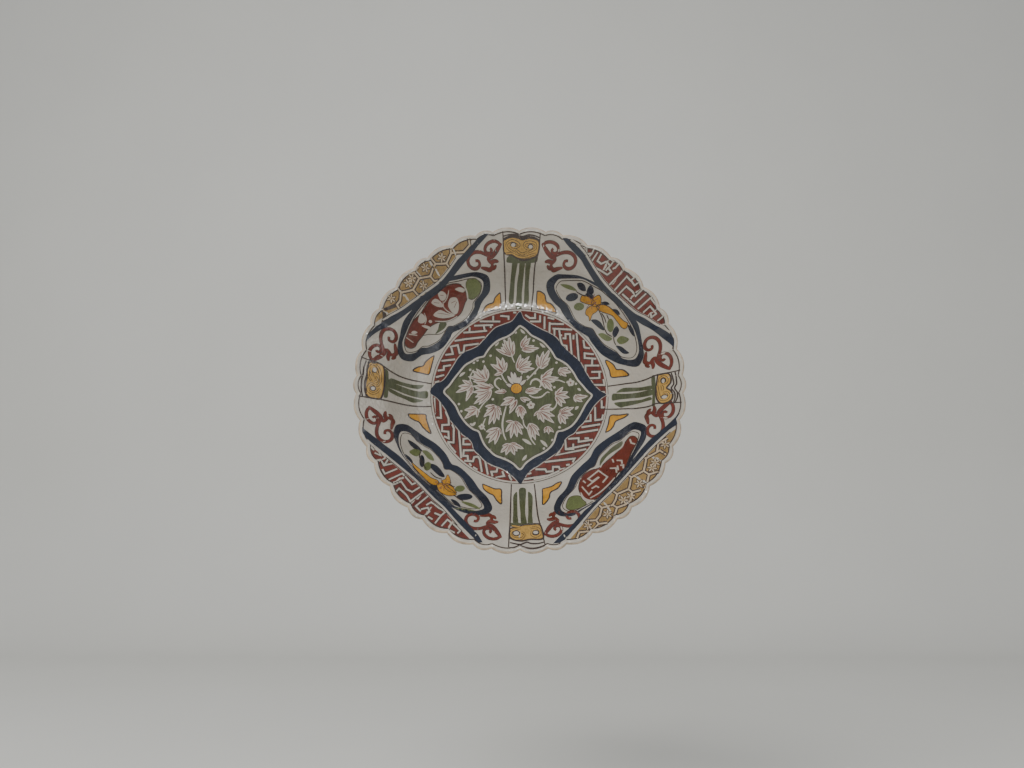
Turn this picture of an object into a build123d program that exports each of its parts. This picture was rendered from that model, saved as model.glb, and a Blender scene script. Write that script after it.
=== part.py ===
"""Painted ceramic wall plate with a scalloped rim, and the wire loop it hangs by.

The plate hangs as it does in use: its painted face looks along -Y, its foot ring
stands on the wall plane Y = 0, and +Z is up. The origin is the centre of the
foot ring's flat face. Sizes are in millimetres.
"""
import os
from math import asin, atan2, cos, hypot, radians, sin, sqrt

from build123d import *

# ---- plate: overall sizes -------------------------------------------------
plate_radius = 130.0        # centre to the tips of the scallops
plate_depth = 60.0          # wall plane to the top of the lip

# ---- plate: floor, wall and rim -------------------------------------------
well_radius = 71.0          # flat painted floor
floor_thickness = 7.0
break_radius = 107.0        # where the wall turns out into the rim
rim_rise = 15.0             # break to the top of the lip
wall_thickness = 6.0
lip_radius = 2.5            # half the thickness of the rounded lip

# ---- plate: scallops ------------------------------------------------------
scallop_repeats = 14        # each repeat is one small lobe and two wide ones
small_lobe_angle = 6.4      # degrees taken by the small lobe
deep_notch = 3.2            # between two wide lobes
shallow_notch = 2.4         # each side of a small lobe
notch_round = 0.8
lip_trim = 0.5              # turned lip left outside the tips, then trimmed off

# ---- plate: foot ring -----------------------------------------------------
foot_height = 8.0
foot_radius = 63.0          # middle of the standing face
foot_width = 5.0            # standing face and its two bevels
foot_bevel = 0.8
foot_draft = 1.5            # how much each side spreads towards the floor

# ---- hanging wire ---------------------------------------------------------
wire_diameter = 1.8
hole_clearance = 0.3        # radial, wire to hole
hole_height = 45.0          # straight run of the wire above the centre
hole_depth = 4.0            # its axis behind the wall plane
side_play = 1.0             # foot ring to the start of each bend
bend_radius = 3.0
arm_rise = 11.0             # where the arms start to lean together
neck_clear = 18.0           # crown of the foot ring to where the two ends meet
neck_length = 9.0           # the ends wound round each other
eye_radius = 4.0            # inside the eye that takes the nail
rest_gap = 0.5              # loop to the back of the plate that it leans on
rest_stations = 24          # places along an arm where that gap is tried

# ---- worked out from the sizes above --------------------------------------
floor_height = foot_height + floor_thickness
break_height = plate_depth - rim_rise
lip_centre = (plate_radius + lip_trim - lip_radius, plate_depth - lip_radius)
wire_radius = wire_diameter / 2
foot_inner = foot_radius - foot_width / 2
foot_outer = foot_radius + foot_width / 2
foot_root_outer = foot_outer + foot_draft
hole_exit = sqrt(foot_root_outer**2 - hole_height**2)
arm_x = hole_exit + side_play + bend_radius
neck_rise = foot_root_outer - hole_height + neck_clear


def on_wall(radius, height):
    """Point of the turned section: radius from the axis, height off the wall."""
    return (radius, -height)


def rim_point(radius, angle):
    """Point of the rim's outline, seen along the axis; angle in degrees."""
    return (radius * cos(radians(angle)), radius * sin(radians(angle)))


# Rim slope: the upper face is tangent to the round lip.
lip_run = lip_centre[0] - break_radius
lip_lift = lip_centre[1] - break_height
rim_slope = atan2(lip_lift, lip_run) + asin(lip_radius / hypot(lip_run, lip_lift))
lip_top = (lip_centre[0] - lip_radius * sin(rim_slope), lip_centre[1] + lip_radius * cos(rim_slope))
lip_under = (lip_centre[0] + lip_radius * sin(rim_slope), lip_centre[1] - lip_radius * cos(rim_slope))

# Wall: one curve from the flat floor up to the break, and its mate underneath.
wall_run = break_radius - well_radius
wall_lift = break_height - floor_height
wall_curve = [
    (well_radius, floor_height),
    (well_radius + 0.46 * wall_run, floor_height),
    (break_radius - 0.26 * wall_run, break_height - 0.38 * wall_lift),
    (break_radius, break_height),
]
back_break = (break_radius + 0.72 * wall_thickness, break_height - 0.72 * wall_thickness)
back_start = (foot_root_outer + foot_draft, foot_height)
back_run = back_break[0] - back_start[0]
back_lift = back_break[1] - back_start[1]
back_curve = [
    back_break,
    (back_break[0] - 0.24 * back_run, back_break[1] - 0.38 * back_lift),
    (back_start[0] + 0.50 * back_run, back_start[1]),
    back_start,
]


def back_height(radius):
    """Height off the wall of the back of the plate, outside the foot ring."""
    near, far = 1.0, 0.0
    while near - far > 1e-6:
        share = (near + far) / 2
        rest = 1 - share
        weights = (rest**3, 3 * rest**2 * share, 3 * rest * share**2, share**3)
        reached = sum(weight * point[0] for weight, point in zip(weights, back_curve))
        height = sum(weight * point[1] for weight, point in zip(weights, back_curve))
        if reached > radius:
            far = share
        else:
            near = share
    return height


def lean_at(rise):
    """Angle at which an arm meets the back of the plate, at one rise up the loop."""
    along = (rise - arm_rise) / (neck_rise - arm_rise)
    arm = arm_x + along * (wire_radius - arm_x)
    room = back_height(hypot(arm, hole_height + rise)) - hole_depth - wire_radius - rest_gap
    return asin(room / rise)


# The loop leans as far as the tightest place on its arms lets it.
arm_step = (neck_rise - arm_rise) / rest_stations
lean = min(lean_at(arm_rise + station * arm_step) for station in range(rest_stations + 1))

# ---- plate ----------------------------------------------------------------
repeat_angle = 360 / scallop_repeats
small_half = small_lobe_angle / 2
wide_middle = (repeat_angle / 2 + small_half) / 2
shallow_radius = plate_radius - shallow_notch
deep_radius = plate_radius - deep_notch

with BuildPart() as plate:
    with BuildSketch(Plane.XY) as section:
        with BuildLine():
            Line(on_wall(0, foot_height), on_wall(0, floor_height))
            Line(on_wall(0, floor_height), on_wall(*wall_curve[0]))
            Bezier(*[on_wall(*point) for point in wall_curve])
            Line(on_wall(*wall_curve[-1]), on_wall(*lip_top))
            ThreePointArc(
                on_wall(*lip_top),
                on_wall(
                    lip_centre[0] + lip_radius * cos(rim_slope),
                    lip_centre[1] + lip_radius * sin(rim_slope),
                ),
                on_wall(*lip_under),
            )
            Line(on_wall(*lip_under), on_wall(*back_curve[0]))
            Bezier(*[on_wall(*point) for point in back_curve])
            Polyline(
                on_wall(*back_start),
                on_wall(foot_root_outer, foot_height),
                on_wall(foot_outer, foot_bevel),
                on_wall(foot_outer - foot_bevel, 0),
                on_wall(foot_inner + foot_bevel, 0),
                on_wall(foot_inner, foot_bevel),
                on_wall(foot_inner - foot_draft, foot_height),
                on_wall(0, foot_height),
            )
        make_face()
    revolve(axis=Axis.Y)

    # Scallops: the round rim is trimmed to a ring of lobes.
    with BuildSketch(Plane.XZ) as outline:
        with BuildLine():
            for repeat in range(scallop_repeats):
                middle = repeat * repeat_angle
                ThreePointArc(
                    rim_point(shallow_radius, middle - small_half),
                    rim_point(plate_radius, middle),
                    rim_point(shallow_radius, middle + small_half),
                )
                ThreePointArc(
                    rim_point(shallow_radius, middle + small_half),
                    rim_point(plate_radius, middle + wide_middle),
                    rim_point(deep_radius, middle + repeat_angle / 2),
                )
                ThreePointArc(
                    rim_point(deep_radius, middle + repeat_angle / 2),
                    rim_point(plate_radius, middle + repeat_angle - wide_middle),
                    rim_point(shallow_radius, middle + repeat_angle - small_half),
                )
        make_face()
        fillet(outline.vertices(), radius=notch_round)
    extrude(amount=plate_depth, mode=Mode.INTERSECT)

    # One straight rod pushed through the foot ring leaves two holes in line.
    with BuildSketch(Plane.YZ.offset(-foot_root_outer)) as rod:
        with Locations((-hole_depth, hole_height)):
            Circle(wire_radius + hole_clearance)
    extrude(amount=2 * foot_root_outer, mode=Mode.SUBTRACT)

# ---- hanging wire ---------------------------------------------------------
loop_plane = Plane(
    origin=(0, -hole_depth, hole_height),
    x_dir=(1, 0, 0),
    z_dir=(0, -cos(lean), -sin(lean)),
)
neck_top = neck_rise + neck_length
eye_ring_radius = eye_radius + wire_radius
eye_plane = Plane(
    origin=loop_plane.from_local_coords((0, neck_top + eye_ring_radius, 0)),
    z_dir=loop_plane.z_dir,
)

with BuildPart() as hanging_wire:
    # One length of wire: the straight run through the ring, its two arms, and
    # the ends that meet at the neck.
    with BuildLine(loop_plane) as loop:
        FilletPolyline(
            (-wire_radius, neck_rise),
            (-arm_x, arm_rise),
            (-arm_x, 0),
            (arm_x, 0),
            (arm_x, arm_rise),
            (wire_radius, neck_rise),
            radius=bend_radius,
        )
    with BuildSketch(Plane(origin=loop.line @ 0, z_dir=loop.line % 0)):
        Circle(wire_radius)
    sweep(path=loop.line)

    # The ends wound round each other, and the eye that they form.
    with BuildSketch(loop_plane):
        with Locations((wire_radius, (neck_rise + neck_top) / 2)):
            Rectangle(wire_diameter, neck_length)
    revolve(axis=Axis(loop_plane.origin, loop_plane.y_dir))
    with Locations(eye_plane):
        Torus(eye_ring_radius, wire_radius)

# ---- write the parts ------------------------------------------------------
os.makedirs("parts", exist_ok=True)
plate.part.label = "plate"
export_step(plate.part, "parts/plate.step")
hanging_wire.part.label = "hanging_wire"
export_step(hanging_wire.part, "parts/hanging_wire.step")
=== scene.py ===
"""Painted ceramic wall plate: the thrown body, its glaze, the painted panels and the hanging wire.

Run as a script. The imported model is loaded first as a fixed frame, and every piece
below is placed from it. Plan sizes are in millimetres on the painted face, X to the
right and Z up; meshes are in metres.
"""
import math

import bpy
import numpy as np
from bpy.props import FloatProperty, FloatVectorProperty, IntProperty, PointerProperty
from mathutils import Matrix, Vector, geometry


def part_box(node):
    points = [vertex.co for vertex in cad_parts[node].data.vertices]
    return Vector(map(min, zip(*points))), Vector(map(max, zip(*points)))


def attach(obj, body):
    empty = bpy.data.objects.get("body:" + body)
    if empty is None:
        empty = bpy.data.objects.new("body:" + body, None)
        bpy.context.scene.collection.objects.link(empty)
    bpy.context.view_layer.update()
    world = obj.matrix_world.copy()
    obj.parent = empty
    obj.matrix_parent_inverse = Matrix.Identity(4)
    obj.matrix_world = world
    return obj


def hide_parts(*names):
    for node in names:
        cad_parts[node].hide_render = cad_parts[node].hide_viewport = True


bl_info = {
    "name": "Painted Ceramic Plate",
    "version": (1, 0, 0),
    "blender": (4, 5, 0),
    "location": "View3D > Sidebar > Plate",
    "description": "Builds a hand painted wall plate with a scalloped rim and its hanging wire",
    "category": "Object",
}

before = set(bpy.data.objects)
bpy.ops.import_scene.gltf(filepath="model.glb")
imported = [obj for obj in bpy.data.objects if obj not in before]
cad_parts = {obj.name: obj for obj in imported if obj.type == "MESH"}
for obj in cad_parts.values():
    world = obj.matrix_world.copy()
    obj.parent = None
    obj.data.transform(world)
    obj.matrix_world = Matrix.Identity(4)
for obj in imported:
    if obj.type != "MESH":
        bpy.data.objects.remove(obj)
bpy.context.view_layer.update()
MM = 0.001
TURN = 2 * math.pi


# ---- sizes and colours ----------------------------------------------------
def colour_property(name, description, default):
    """A finish's colour, in linear RGB."""
    return FloatVectorProperty(
        name=name, description=description, default=default, subtype="COLOR", size=3, min=0.0, max=1.0
    )


def length_property(name, description, default):
    """A length, in metres."""
    return FloatProperty(name=name, description=description, default=default, unit="LENGTH", precision=4)


def angle_property(name, description, degrees):
    """An angle, given in degrees."""
    return FloatProperty(name=name, description=description, default=math.radians(degrees), unit="ROTATION")


def number_property(name, description, default, unit="NONE"):
    return FloatProperty(name=name, description=description, default=default, unit=unit)


class PlateSizes(bpy.types.PropertyGroup):
    """Sizes of the thrown body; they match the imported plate."""

    radius: length_property("Radius", "Centre to the tips of the scallops", 0.130)
    depth: length_property("Depth", "Wall plane to the top of the lip", 0.060)
    well_radius: length_property("Well radius", "Flat painted floor", 0.071)
    break_radius: length_property("Break radius", "Where the wall turns out into the rim", 0.107)
    rim_rise: length_property("Rim rise", "Break to the top of the lip", 0.015)
    floor_thickness: length_property("Floor thickness", "Clay under the painted floor", 0.007)
    wall_thickness: length_property("Wall thickness", "Clay of the wall at the break", 0.006)
    lip_radius: length_property("Lip radius", "Half the thickness of the rounded lip", 0.0025)
    deep_notch: length_property("Deep notch", "Notch between two wide lobes", 0.0032)
    shallow_notch: length_property("Shallow notch", "Notch beside a small lobe", 0.0024)
    foot_height: length_property("Foot height", "Foot ring off the back", 0.008)
    foot_radius: length_property("Foot radius", "Middle of the standing face", 0.063)
    foot_width: length_property("Foot width", "Standing face and its two bevels", 0.005)
    foot_bevel: length_property("Foot bevel", "Worn edge of the standing face", 0.0008)
    foot_draft: length_property("Foot draft", "Spread of each side towards the floor", 0.0015)
    hole_clearance: length_property("Hole clearance", "Wire to hole, all round", 0.0003)
    repeats: IntProperty(
        name="Scallop repeats", description="One small lobe and two wide ones each", default=14
    )
    small_lobe: angle_property("Small lobe", "Angle taken by a small lobe", 6.4)


class WireSizes(bpy.types.PropertyGroup):
    """Sizes of the hanging wire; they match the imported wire."""

    diameter: length_property("Diameter", "Thickness of the wire", 0.0018)
    arm_rise: length_property("Arm rise", "Where the arms start to lean together", 0.011)
    neck_rise: length_property("Neck rise", "Where the two ends meet", 0.040)
    neck_length: length_property("Neck length", "The ends wound round each other", 0.009)
    eye_radius: length_property("Eye radius", "Inside the eye that takes the nail", 0.004)
    bend_radius: length_property("Bend radius", "Inside bends of the arms", 0.003)
    neck_turns: number_property("Neck turns", "Turns of one end round the other", 2.5)


class PaintColours(bpy.types.PropertyGroup):
    """Colours of the glaze, the clay and the painted enamels."""

    glaze: colour_property("Glaze", "Warm white ground of the painted face", (0.325, 0.297, 0.250))
    # Lip: a buff colour laid over the outer side of the lip, from its crown outwards.
    lip: colour_property("Lip", "Buff clay seen through thin glaze on the lip", (0.40, 0.31, 0.215))
    back_glaze: colour_property("Back glaze", "Greyer glaze on the back", (0.42, 0.40, 0.32))
    clay: colour_property("Clay", "Bare fired clay of the foot", (0.46, 0.30, 0.18))
    navy: colour_property("Navy", "Dark blue bands", (0.0085, 0.0115, 0.021))
    iron_red: colour_property("Iron red", "Fret grounds, fruit and scrolls", (0.098, 0.0175, 0.0105))
    olive: colour_property("Olive", "Medallion ground and stripes", (0.052, 0.058, 0.026))
    leaf_green: colour_property("Leaf green", "Leaves and fruit tips", (0.085, 0.100, 0.036))
    ochre: colour_property("Ochre", "Honeycomb ground and cloud heads", (0.20, 0.125, 0.042))
    orange: colour_property("Orange", "Flowers and corner motifs", (0.40, 0.19, 0.016))
    outline: colour_property("Outline", "Dark brown drawn lines", (0.030, 0.020, 0.016))
    cloud: colour_property("Cloud heads", "Yellow ochre of the column heads", (0.34, 0.20, 0.045))
    cream: colour_property("Cream", "Lines and flowers of the honeycomb", (0.33, 0.255, 0.165))
    vein: colour_property("Vein", "Pinkish brown veins of the white leaves", (0.135, 0.060, 0.048))
    wire: colour_property("Wire", "Dull zinc of the wire", (0.42, 0.42, 0.41))
    stage: colour_property("Stage", "Pale floor and backdrop", (0.66, 0.655, 0.61))


class StageSettings(bpy.types.PropertyGroup):
    """Camera and studio light."""

    distance: length_property("Camera distance", "Camera to the middle of the painted floor", 0.705)
    below: angle_property("Camera below", "Camera under the plate's axis", 10.6)
    side: angle_property("Camera left", "Camera to the left of the axis", 0.15)
    aim_left: angle_property("Aim left", "Camera turned past the plate", 0.505)
    aim_up: angle_property("Aim up", "Camera tilted past the plate", 0.708)
    lens: number_property("Lens", "Focal length on a 36 mm wide sensor", 29.9)
    key_power: number_property("Key light", "Large soft light overhead", 33.0, "POWER")
    fill_power: number_property("Fill light", "Soft light from the front", 6.0, "POWER")
    spot_power: number_property("Sparkle light", "Small light mirrored in the well", 8.0, "POWER")
    world: number_property("World light", "Strength of the plain pale surroundings", 0.44)


def sizes():
    return bpy.context.scene.plate_sizes


def colours():
    return bpy.context.scene.paint_colours


# ---- the turned section ---------------------------------------------------
def bezier(points, steps):
    """Cubic curve through its four control points."""
    share = np.linspace(0.0, 1.0, steps)[:, None]
    rest = 1.0 - share
    a, b, c, d = np.array(points, float)
    return rest**3 * a + 3 * rest**2 * share * b + 3 * rest * share**2 * c + share**3 * d


def wall_curve():
    """Radius and height off the wall plane of the painted side, from the floor to the break."""
    s = sizes()
    floor = s.foot_height + s.floor_thickness
    top = s.depth - s.rim_rise
    run = s.break_radius - s.well_radius
    lift = top - floor
    return bezier(
        [
            (s.well_radius, floor),
            (s.well_radius + 0.46 * run, floor),
            (s.break_radius - 0.26 * run, top - 0.38 * lift),
            (s.break_radius, top),
        ],
        40,
    )


def back_curve():
    """Radius and height of the back, from the break in to the foot ring."""
    s = sizes()
    outer = s.foot_radius + s.foot_width / 2 + 2 * s.foot_draft
    start = (s.break_radius + 0.72 * s.wall_thickness, s.depth - s.rim_rise - 0.72 * s.wall_thickness)
    run = start[0] - outer
    lift = start[1] - s.foot_height
    return bezier(
        [
            start,
            (start[0] - 0.24 * run, start[1] - 0.38 * lift),
            (outer + 0.50 * run, s.foot_height),
            (outer, s.foot_height),
        ],
        34,
    )


def rim_radius(angle):
    """Outline of the scalloped rim at any angle, in metres."""
    s = sizes()
    repeat = TURN / s.repeats
    half_small = s.small_lobe / 2
    place = np.mod(np.asarray(angle, float) + half_small, repeat) - half_small
    mirrored = np.where(place > repeat / 2, repeat - place, place)
    small = mirrored < half_small
    wide_middle = (repeat / 2 + half_small) / 2
    wide_half = (repeat / 2 - half_small) / 2
    across = np.where(small, mirrored / half_small, (mirrored - wide_middle) / wide_half)
    notch = np.where(small | (across < 0), s.shallow_notch, s.deep_notch)
    return s.radius - notch * across**2


def front_section():
    """Radius and height of the painted side from the axis to the rim's tangent with the lip."""
    s = sizes()
    wall = wall_curve()
    top = s.depth - s.rim_rise
    slope, end = lip_tangent()
    corner = (s.break_radius, top)
    keep = wall[wall[:, 0] < s.break_radius - 2.2 * MM]
    after = (corner[0] + 3.0 * MM, corner[1] + 3.0 * MM * slope)
    share = np.linspace(0.0, 1.0, 7)[1:-1, None]
    fillet = (1 - share) ** 2 * keep[-1] + 2 * share * (1 - share) * np.array(corner)
    fillet = fillet + share**2 * np.array(after)
    floor = np.column_stack([np.linspace(0.0, s.well_radius, 11)[:-1], np.full(10, wall[0, 1])])
    rim = np.linspace(after, end, 11)
    return np.vstack([floor, keep, fillet, rim])


def lip_tangent():
    """Slope of the rim, and the point where it meets the round of the lip."""
    s = sizes()
    across = s.radius - s.lip_radius - s.break_radius
    up = s.rim_rise - s.lip_radius
    reach = math.hypot(across, up)
    angle = math.atan2(up, across) + math.asin(s.lip_radius / reach)
    length = math.sqrt(reach**2 - s.lip_radius**2)
    end = (s.break_radius + length * math.cos(angle), s.depth - s.rim_rise + length * math.sin(angle))
    return math.tan(angle), end


def lip_section():
    """The rounded lip, from the painted side over the top to the back."""
    s = sizes()
    slope, _ = lip_tangent()
    start = math.atan(slope) + math.pi / 2
    turns = np.linspace(start, start - math.radians(205.0), 15)[1:]
    middle = (s.radius - s.lip_radius, s.depth - s.lip_radius)
    return np.array(middle) + s.lip_radius * np.column_stack([np.cos(turns), np.sin(turns)])


def back_section(start):
    """Radius and height of the back, from under the lip to the axis inside the foot ring."""
    s = sizes()
    curve = back_curve()
    outer = s.foot_radius + s.foot_width / 2
    inner = s.foot_radius - s.foot_width / 2
    foot = s.foot_height
    bevel = s.foot_bevel
    draft = s.foot_draft
    rim = np.linspace(start, curve[0], 9)[1:-1]
    ring = [
        (outer + draft, foot - 0.4 * MM),
        (outer + 0.5 * draft, foot * 0.55),
        (outer, bevel),
        (outer - bevel * 0.3, bevel * 0.3),
        (outer - bevel, 0.0),
        (s.foot_radius, 0.0),
        (inner + bevel, 0.0),
        (inner + bevel * 0.3, bevel * 0.3),
        (inner, bevel),
        (inner - 0.5 * draft, foot * 0.55),
        (inner - draft, foot - 0.4 * MM),
        (inner - draft - 0.6 * MM, foot),
    ]
    recess = np.column_stack([np.linspace(inner - draft - 6 * MM, 0.0, 8), np.full(8, foot)])
    return np.vstack([rim, curve, np.array(ring), recess])


def step_angle(step, around):
    """Angle of one turning step, so that whole steps fall on every notch."""
    s = sizes()
    repeat = TURN / s.repeats
    per_half = around // (2 * s.repeats)
    in_small = 4
    turn, place = divmod(step, 2 * per_half)
    mirrored = place > per_half
    count = 2 * per_half - place if mirrored else place
    half_small = s.small_lobe / 2
    if count <= in_small:
        angle = half_small * count / in_small
    else:
        angle = half_small + (repeat / 2 - half_small) * (count - in_small) / (per_half - in_small)
    return turn * repeat + (repeat - angle if mirrored else angle)


def front_height(x, z):
    """Height of the painted face off the wall plane, at plan points in metres."""
    s = sizes()
    section = np.vstack([front_section(), lip_section()[:6]])
    radius = np.hypot(x, z)
    lip_middle = s.radius - s.lip_radius
    shift = rim_radius(np.arctan2(z, x)) - s.radius
    width = lip_middle - s.break_radius
    turned = s.break_radius + (radius - s.break_radius) * width / (width + shift)
    turned = np.where(radius > s.break_radius, np.minimum(turned, lip_middle), radius)
    return np.interp(turned, section[:, 0], section[:, 1])


# ---- modelling helpers ----------------------------------------------------
def clear_selection():
    if bpy.context.object and bpy.context.object.mode != "OBJECT":
        bpy.ops.object.mode_set(mode="OBJECT")
    bpy.ops.object.select_all(action="DESELECT")


def made_piece(name):
    piece = bpy.context.active_object
    piece.name = name
    piece.data.name = name
    return piece


def get_points(piece):
    count = len(piece.data.vertices)
    flat = np.empty(count * 3, np.float32)
    piece.data.vertices.foreach_get("co", flat)
    return flat.reshape(-1, 3).astype(float)


def set_points(piece, points):
    piece.data.vertices.foreach_set("co", np.asarray(points, np.float32).ravel())
    piece.data.update()


def place_on_plate(piece, material):
    """Gives a painted piece its finish, and lets it move with the plate."""
    piece.data.materials.append(material)
    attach(piece, "plate")


# ---- brush work -----------------------------------------------------------
# Steps between the layers of paint, the lowest layer and the part sunk in the glaze (mm).
LAYER = 0.036
FIRST_LAYER = 0.040
SUNK = 0.030
# Paint stops this far (mm) inside the scalloped edge, and this far (m) below the crown of the lip.
CROWN_INSET = 3.3
CROWN_MARGIN = 0.03 * MM
# Half the width of the ring where the wall turns over into the rim, and how finely paint is
# divided there (mm).
BREAK_REACH = 4.2
BREAK_STEP = 0.6
# Spacing of the points along a brushed line and of those inside a painted area (mm).
BRUSH_STEP = 0.8
GRID = 2.2


def bend_through(points, closed):
    """A smooth line through the given points, sampled about every BRUSH_STEP mm."""
    points = np.array(points, float)
    count = len(points)
    if count == 2:
        return np.linspace(points[0], points[1], max(2, int(np.hypot(*(points[1] - points[0])) / 2.0) + 1))
    out = []
    spans = count if closed else count - 1
    for index in range(spans):
        if closed:
            p0, p1, p2, p3 = (points[(index + k - 1) % count] for k in range(4))
        else:
            p0 = points[max(index - 1, 0)]
            p1 = points[index]
            p2 = points[index + 1]
            p3 = points[min(index + 2, count - 1)]
        length = np.hypot(*(p2 - p1))
        steps = max(1, int(round(length / BRUSH_STEP)))
        t = np.linspace(0.0, 1.0, steps, endpoint=False)[:, None]
        # Tangents are kept no longer than the span, so a short span never loops.
        m1 = 0.5 * (p2 - p0)
        m2 = 0.5 * (p3 - p1)
        m1 = m1 * min(1.0, length / max(np.hypot(*m1), 1e-6))
        m2 = m2 * min(1.0, length / max(np.hypot(*m2), 1e-6))
        h = (2 * t**3 - 3 * t**2 + 1) * p1 + (t**3 - 2 * t**2 + t) * m1
        out.append(h + (-2 * t**3 + 3 * t**2) * p2 + (t**3 - t**2) * m2)
    if not closed:
        out.append(points[-1:])
    return np.vstack(out)


def filled(points):
    """Outline of a filled shape with soft corners."""
    return bend_through(points, True)


def looped(points):
    """The points with the first one again at the end."""
    points = np.array(points, float)
    return np.vstack([points, points[:1]])


def stroke(points, width, ends=1.0, soft=True):
    """Outline of one brush stroke; ends below 1 make it taper."""
    line = bend_through(points, False) if soft else np.array(points, float)
    ahead = np.gradient(line, axis=0)
    ahead = ahead / np.maximum(np.hypot(ahead[:, 0], ahead[:, 1]), 1e-9)[:, None]
    if not soft and len(line) > 2:
        # Square corners: each inner point is pushed out along its mitre.
        legs = np.diff(line, axis=0)
        legs = legs / np.hypot(legs[:, 0], legs[:, 1])[:, None]
        ahead[1:-1] = legs[:-1] + legs[1:]
        ahead[1:-1] /= np.maximum(np.hypot(ahead[1:-1, 0], ahead[1:-1, 1]), 1e-9)[:, None]
        ahead[0] = legs[0]
        ahead[-1] = legs[-1]
    side = np.column_stack([-ahead[:, 1], ahead[:, 0]])
    reach = np.full(len(line), width / 2)
    if soft:
        run = np.linspace(0.0, 1.0, len(line))
        reach *= ends + (1 - ends) * np.sin(np.pi * run) ** 0.7
    elif len(line) > 2:
        turn = np.clip((side[1:-1] * np.column_stack([-legs[:-1, 1], legs[:-1, 0]])).sum(axis=1), 0.5, 1.0)
        reach[1:-1] /= turn
    left = line + side * reach[:, None]
    right = line - side * reach[:, None]
    return np.vstack([left, right[::-1]])


def oval(x, z, across, up, tilt=0.0):
    """Outline of a filled oval; across and up are whole widths."""
    turn = np.linspace(0.0, TURN, max(10, int(TURN * max(across, up) / 2 / 0.9)), endpoint=False)
    flat = np.column_stack([np.cos(turn) * across / 2, np.sin(turn) * up / 2])
    angle = math.radians(tilt)
    spin = np.array([[math.cos(angle), math.sin(angle)], [-math.sin(angle), math.cos(angle)]])
    return flat @ spin + (x, z)


def leaf(start, end, width, bow=0.0):
    """Outline of a pointed leaf between two tips, bowed to its left."""
    a = np.array(start, float)
    b = np.array(end, float)
    along = b - a
    side = np.array([-along[1], along[0]]) / np.hypot(*along)
    t = np.linspace(0.0, 1.0, max(6, int(np.hypot(*along) / 0.9)))[:, None]
    middle = a + along * t + side * bow * 4 * t * (1 - t)
    reach = width / 2 * np.sin(np.pi * t) ** 0.75
    return np.vstack([middle + side * reach, (middle - side * reach)[::-1][1:-1]])


def inside(points, outline):
    """Winding number of the outline about each point."""
    x, z = points[:, 0][:, None], points[:, 1][:, None]
    x1, z1 = outline[:, 0][None], outline[:, 1][None]
    x2, z2 = np.roll(outline[:, 0], -1)[None], np.roll(outline[:, 1], -1)[None]
    left = (x2 - x1) * (z - z1) - (x - x1) * (z2 - z1)
    up = (z1 <= z) & (z2 > z) & (left > 0)
    down = (z1 > z) & (z2 <= z) & (left < 0)
    return up.sum(axis=1) - down.sum(axis=1)


def clear_of(points, outlines, gap):
    """True for points further than gap from every outline's own points."""
    keep = np.ones(len(points), bool)
    for outline in outlines:
        for start in range(0, len(outline), 200):
            part = outline[start : start + 200]
            apart = points[:, None, :] - part[None, :, :]
            keep &= np.hypot(apart[..., 0], apart[..., 1]).min(axis=1) > gap
    return keep


def near_break(radius):
    """True where the wall turns over sharply into the rim."""
    return np.abs(radius - sizes().break_radius / MM - 0.5) < BREAK_REACH


def dense(outline):
    """The outline with long sides divided, so that it lies down on the curved wall and its break."""
    out = []
    for a, b in zip(outline, np.roll(outline, -1, axis=0)):
        parts = max(1, int(math.ceil(np.hypot(*(b - a)) / GRID)))
        across = np.hypot(*a), np.hypot(*b)
        if near_break(across[0]) or near_break(across[1]):
            parts = max(parts, int(math.ceil(abs(across[1] - across[0]) / BREAK_STEP)))
        out.append(a + (b - a) * np.linspace(0.0, 1.0, parts, endpoint=False)[:, None])
    return np.vstack(out)


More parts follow.
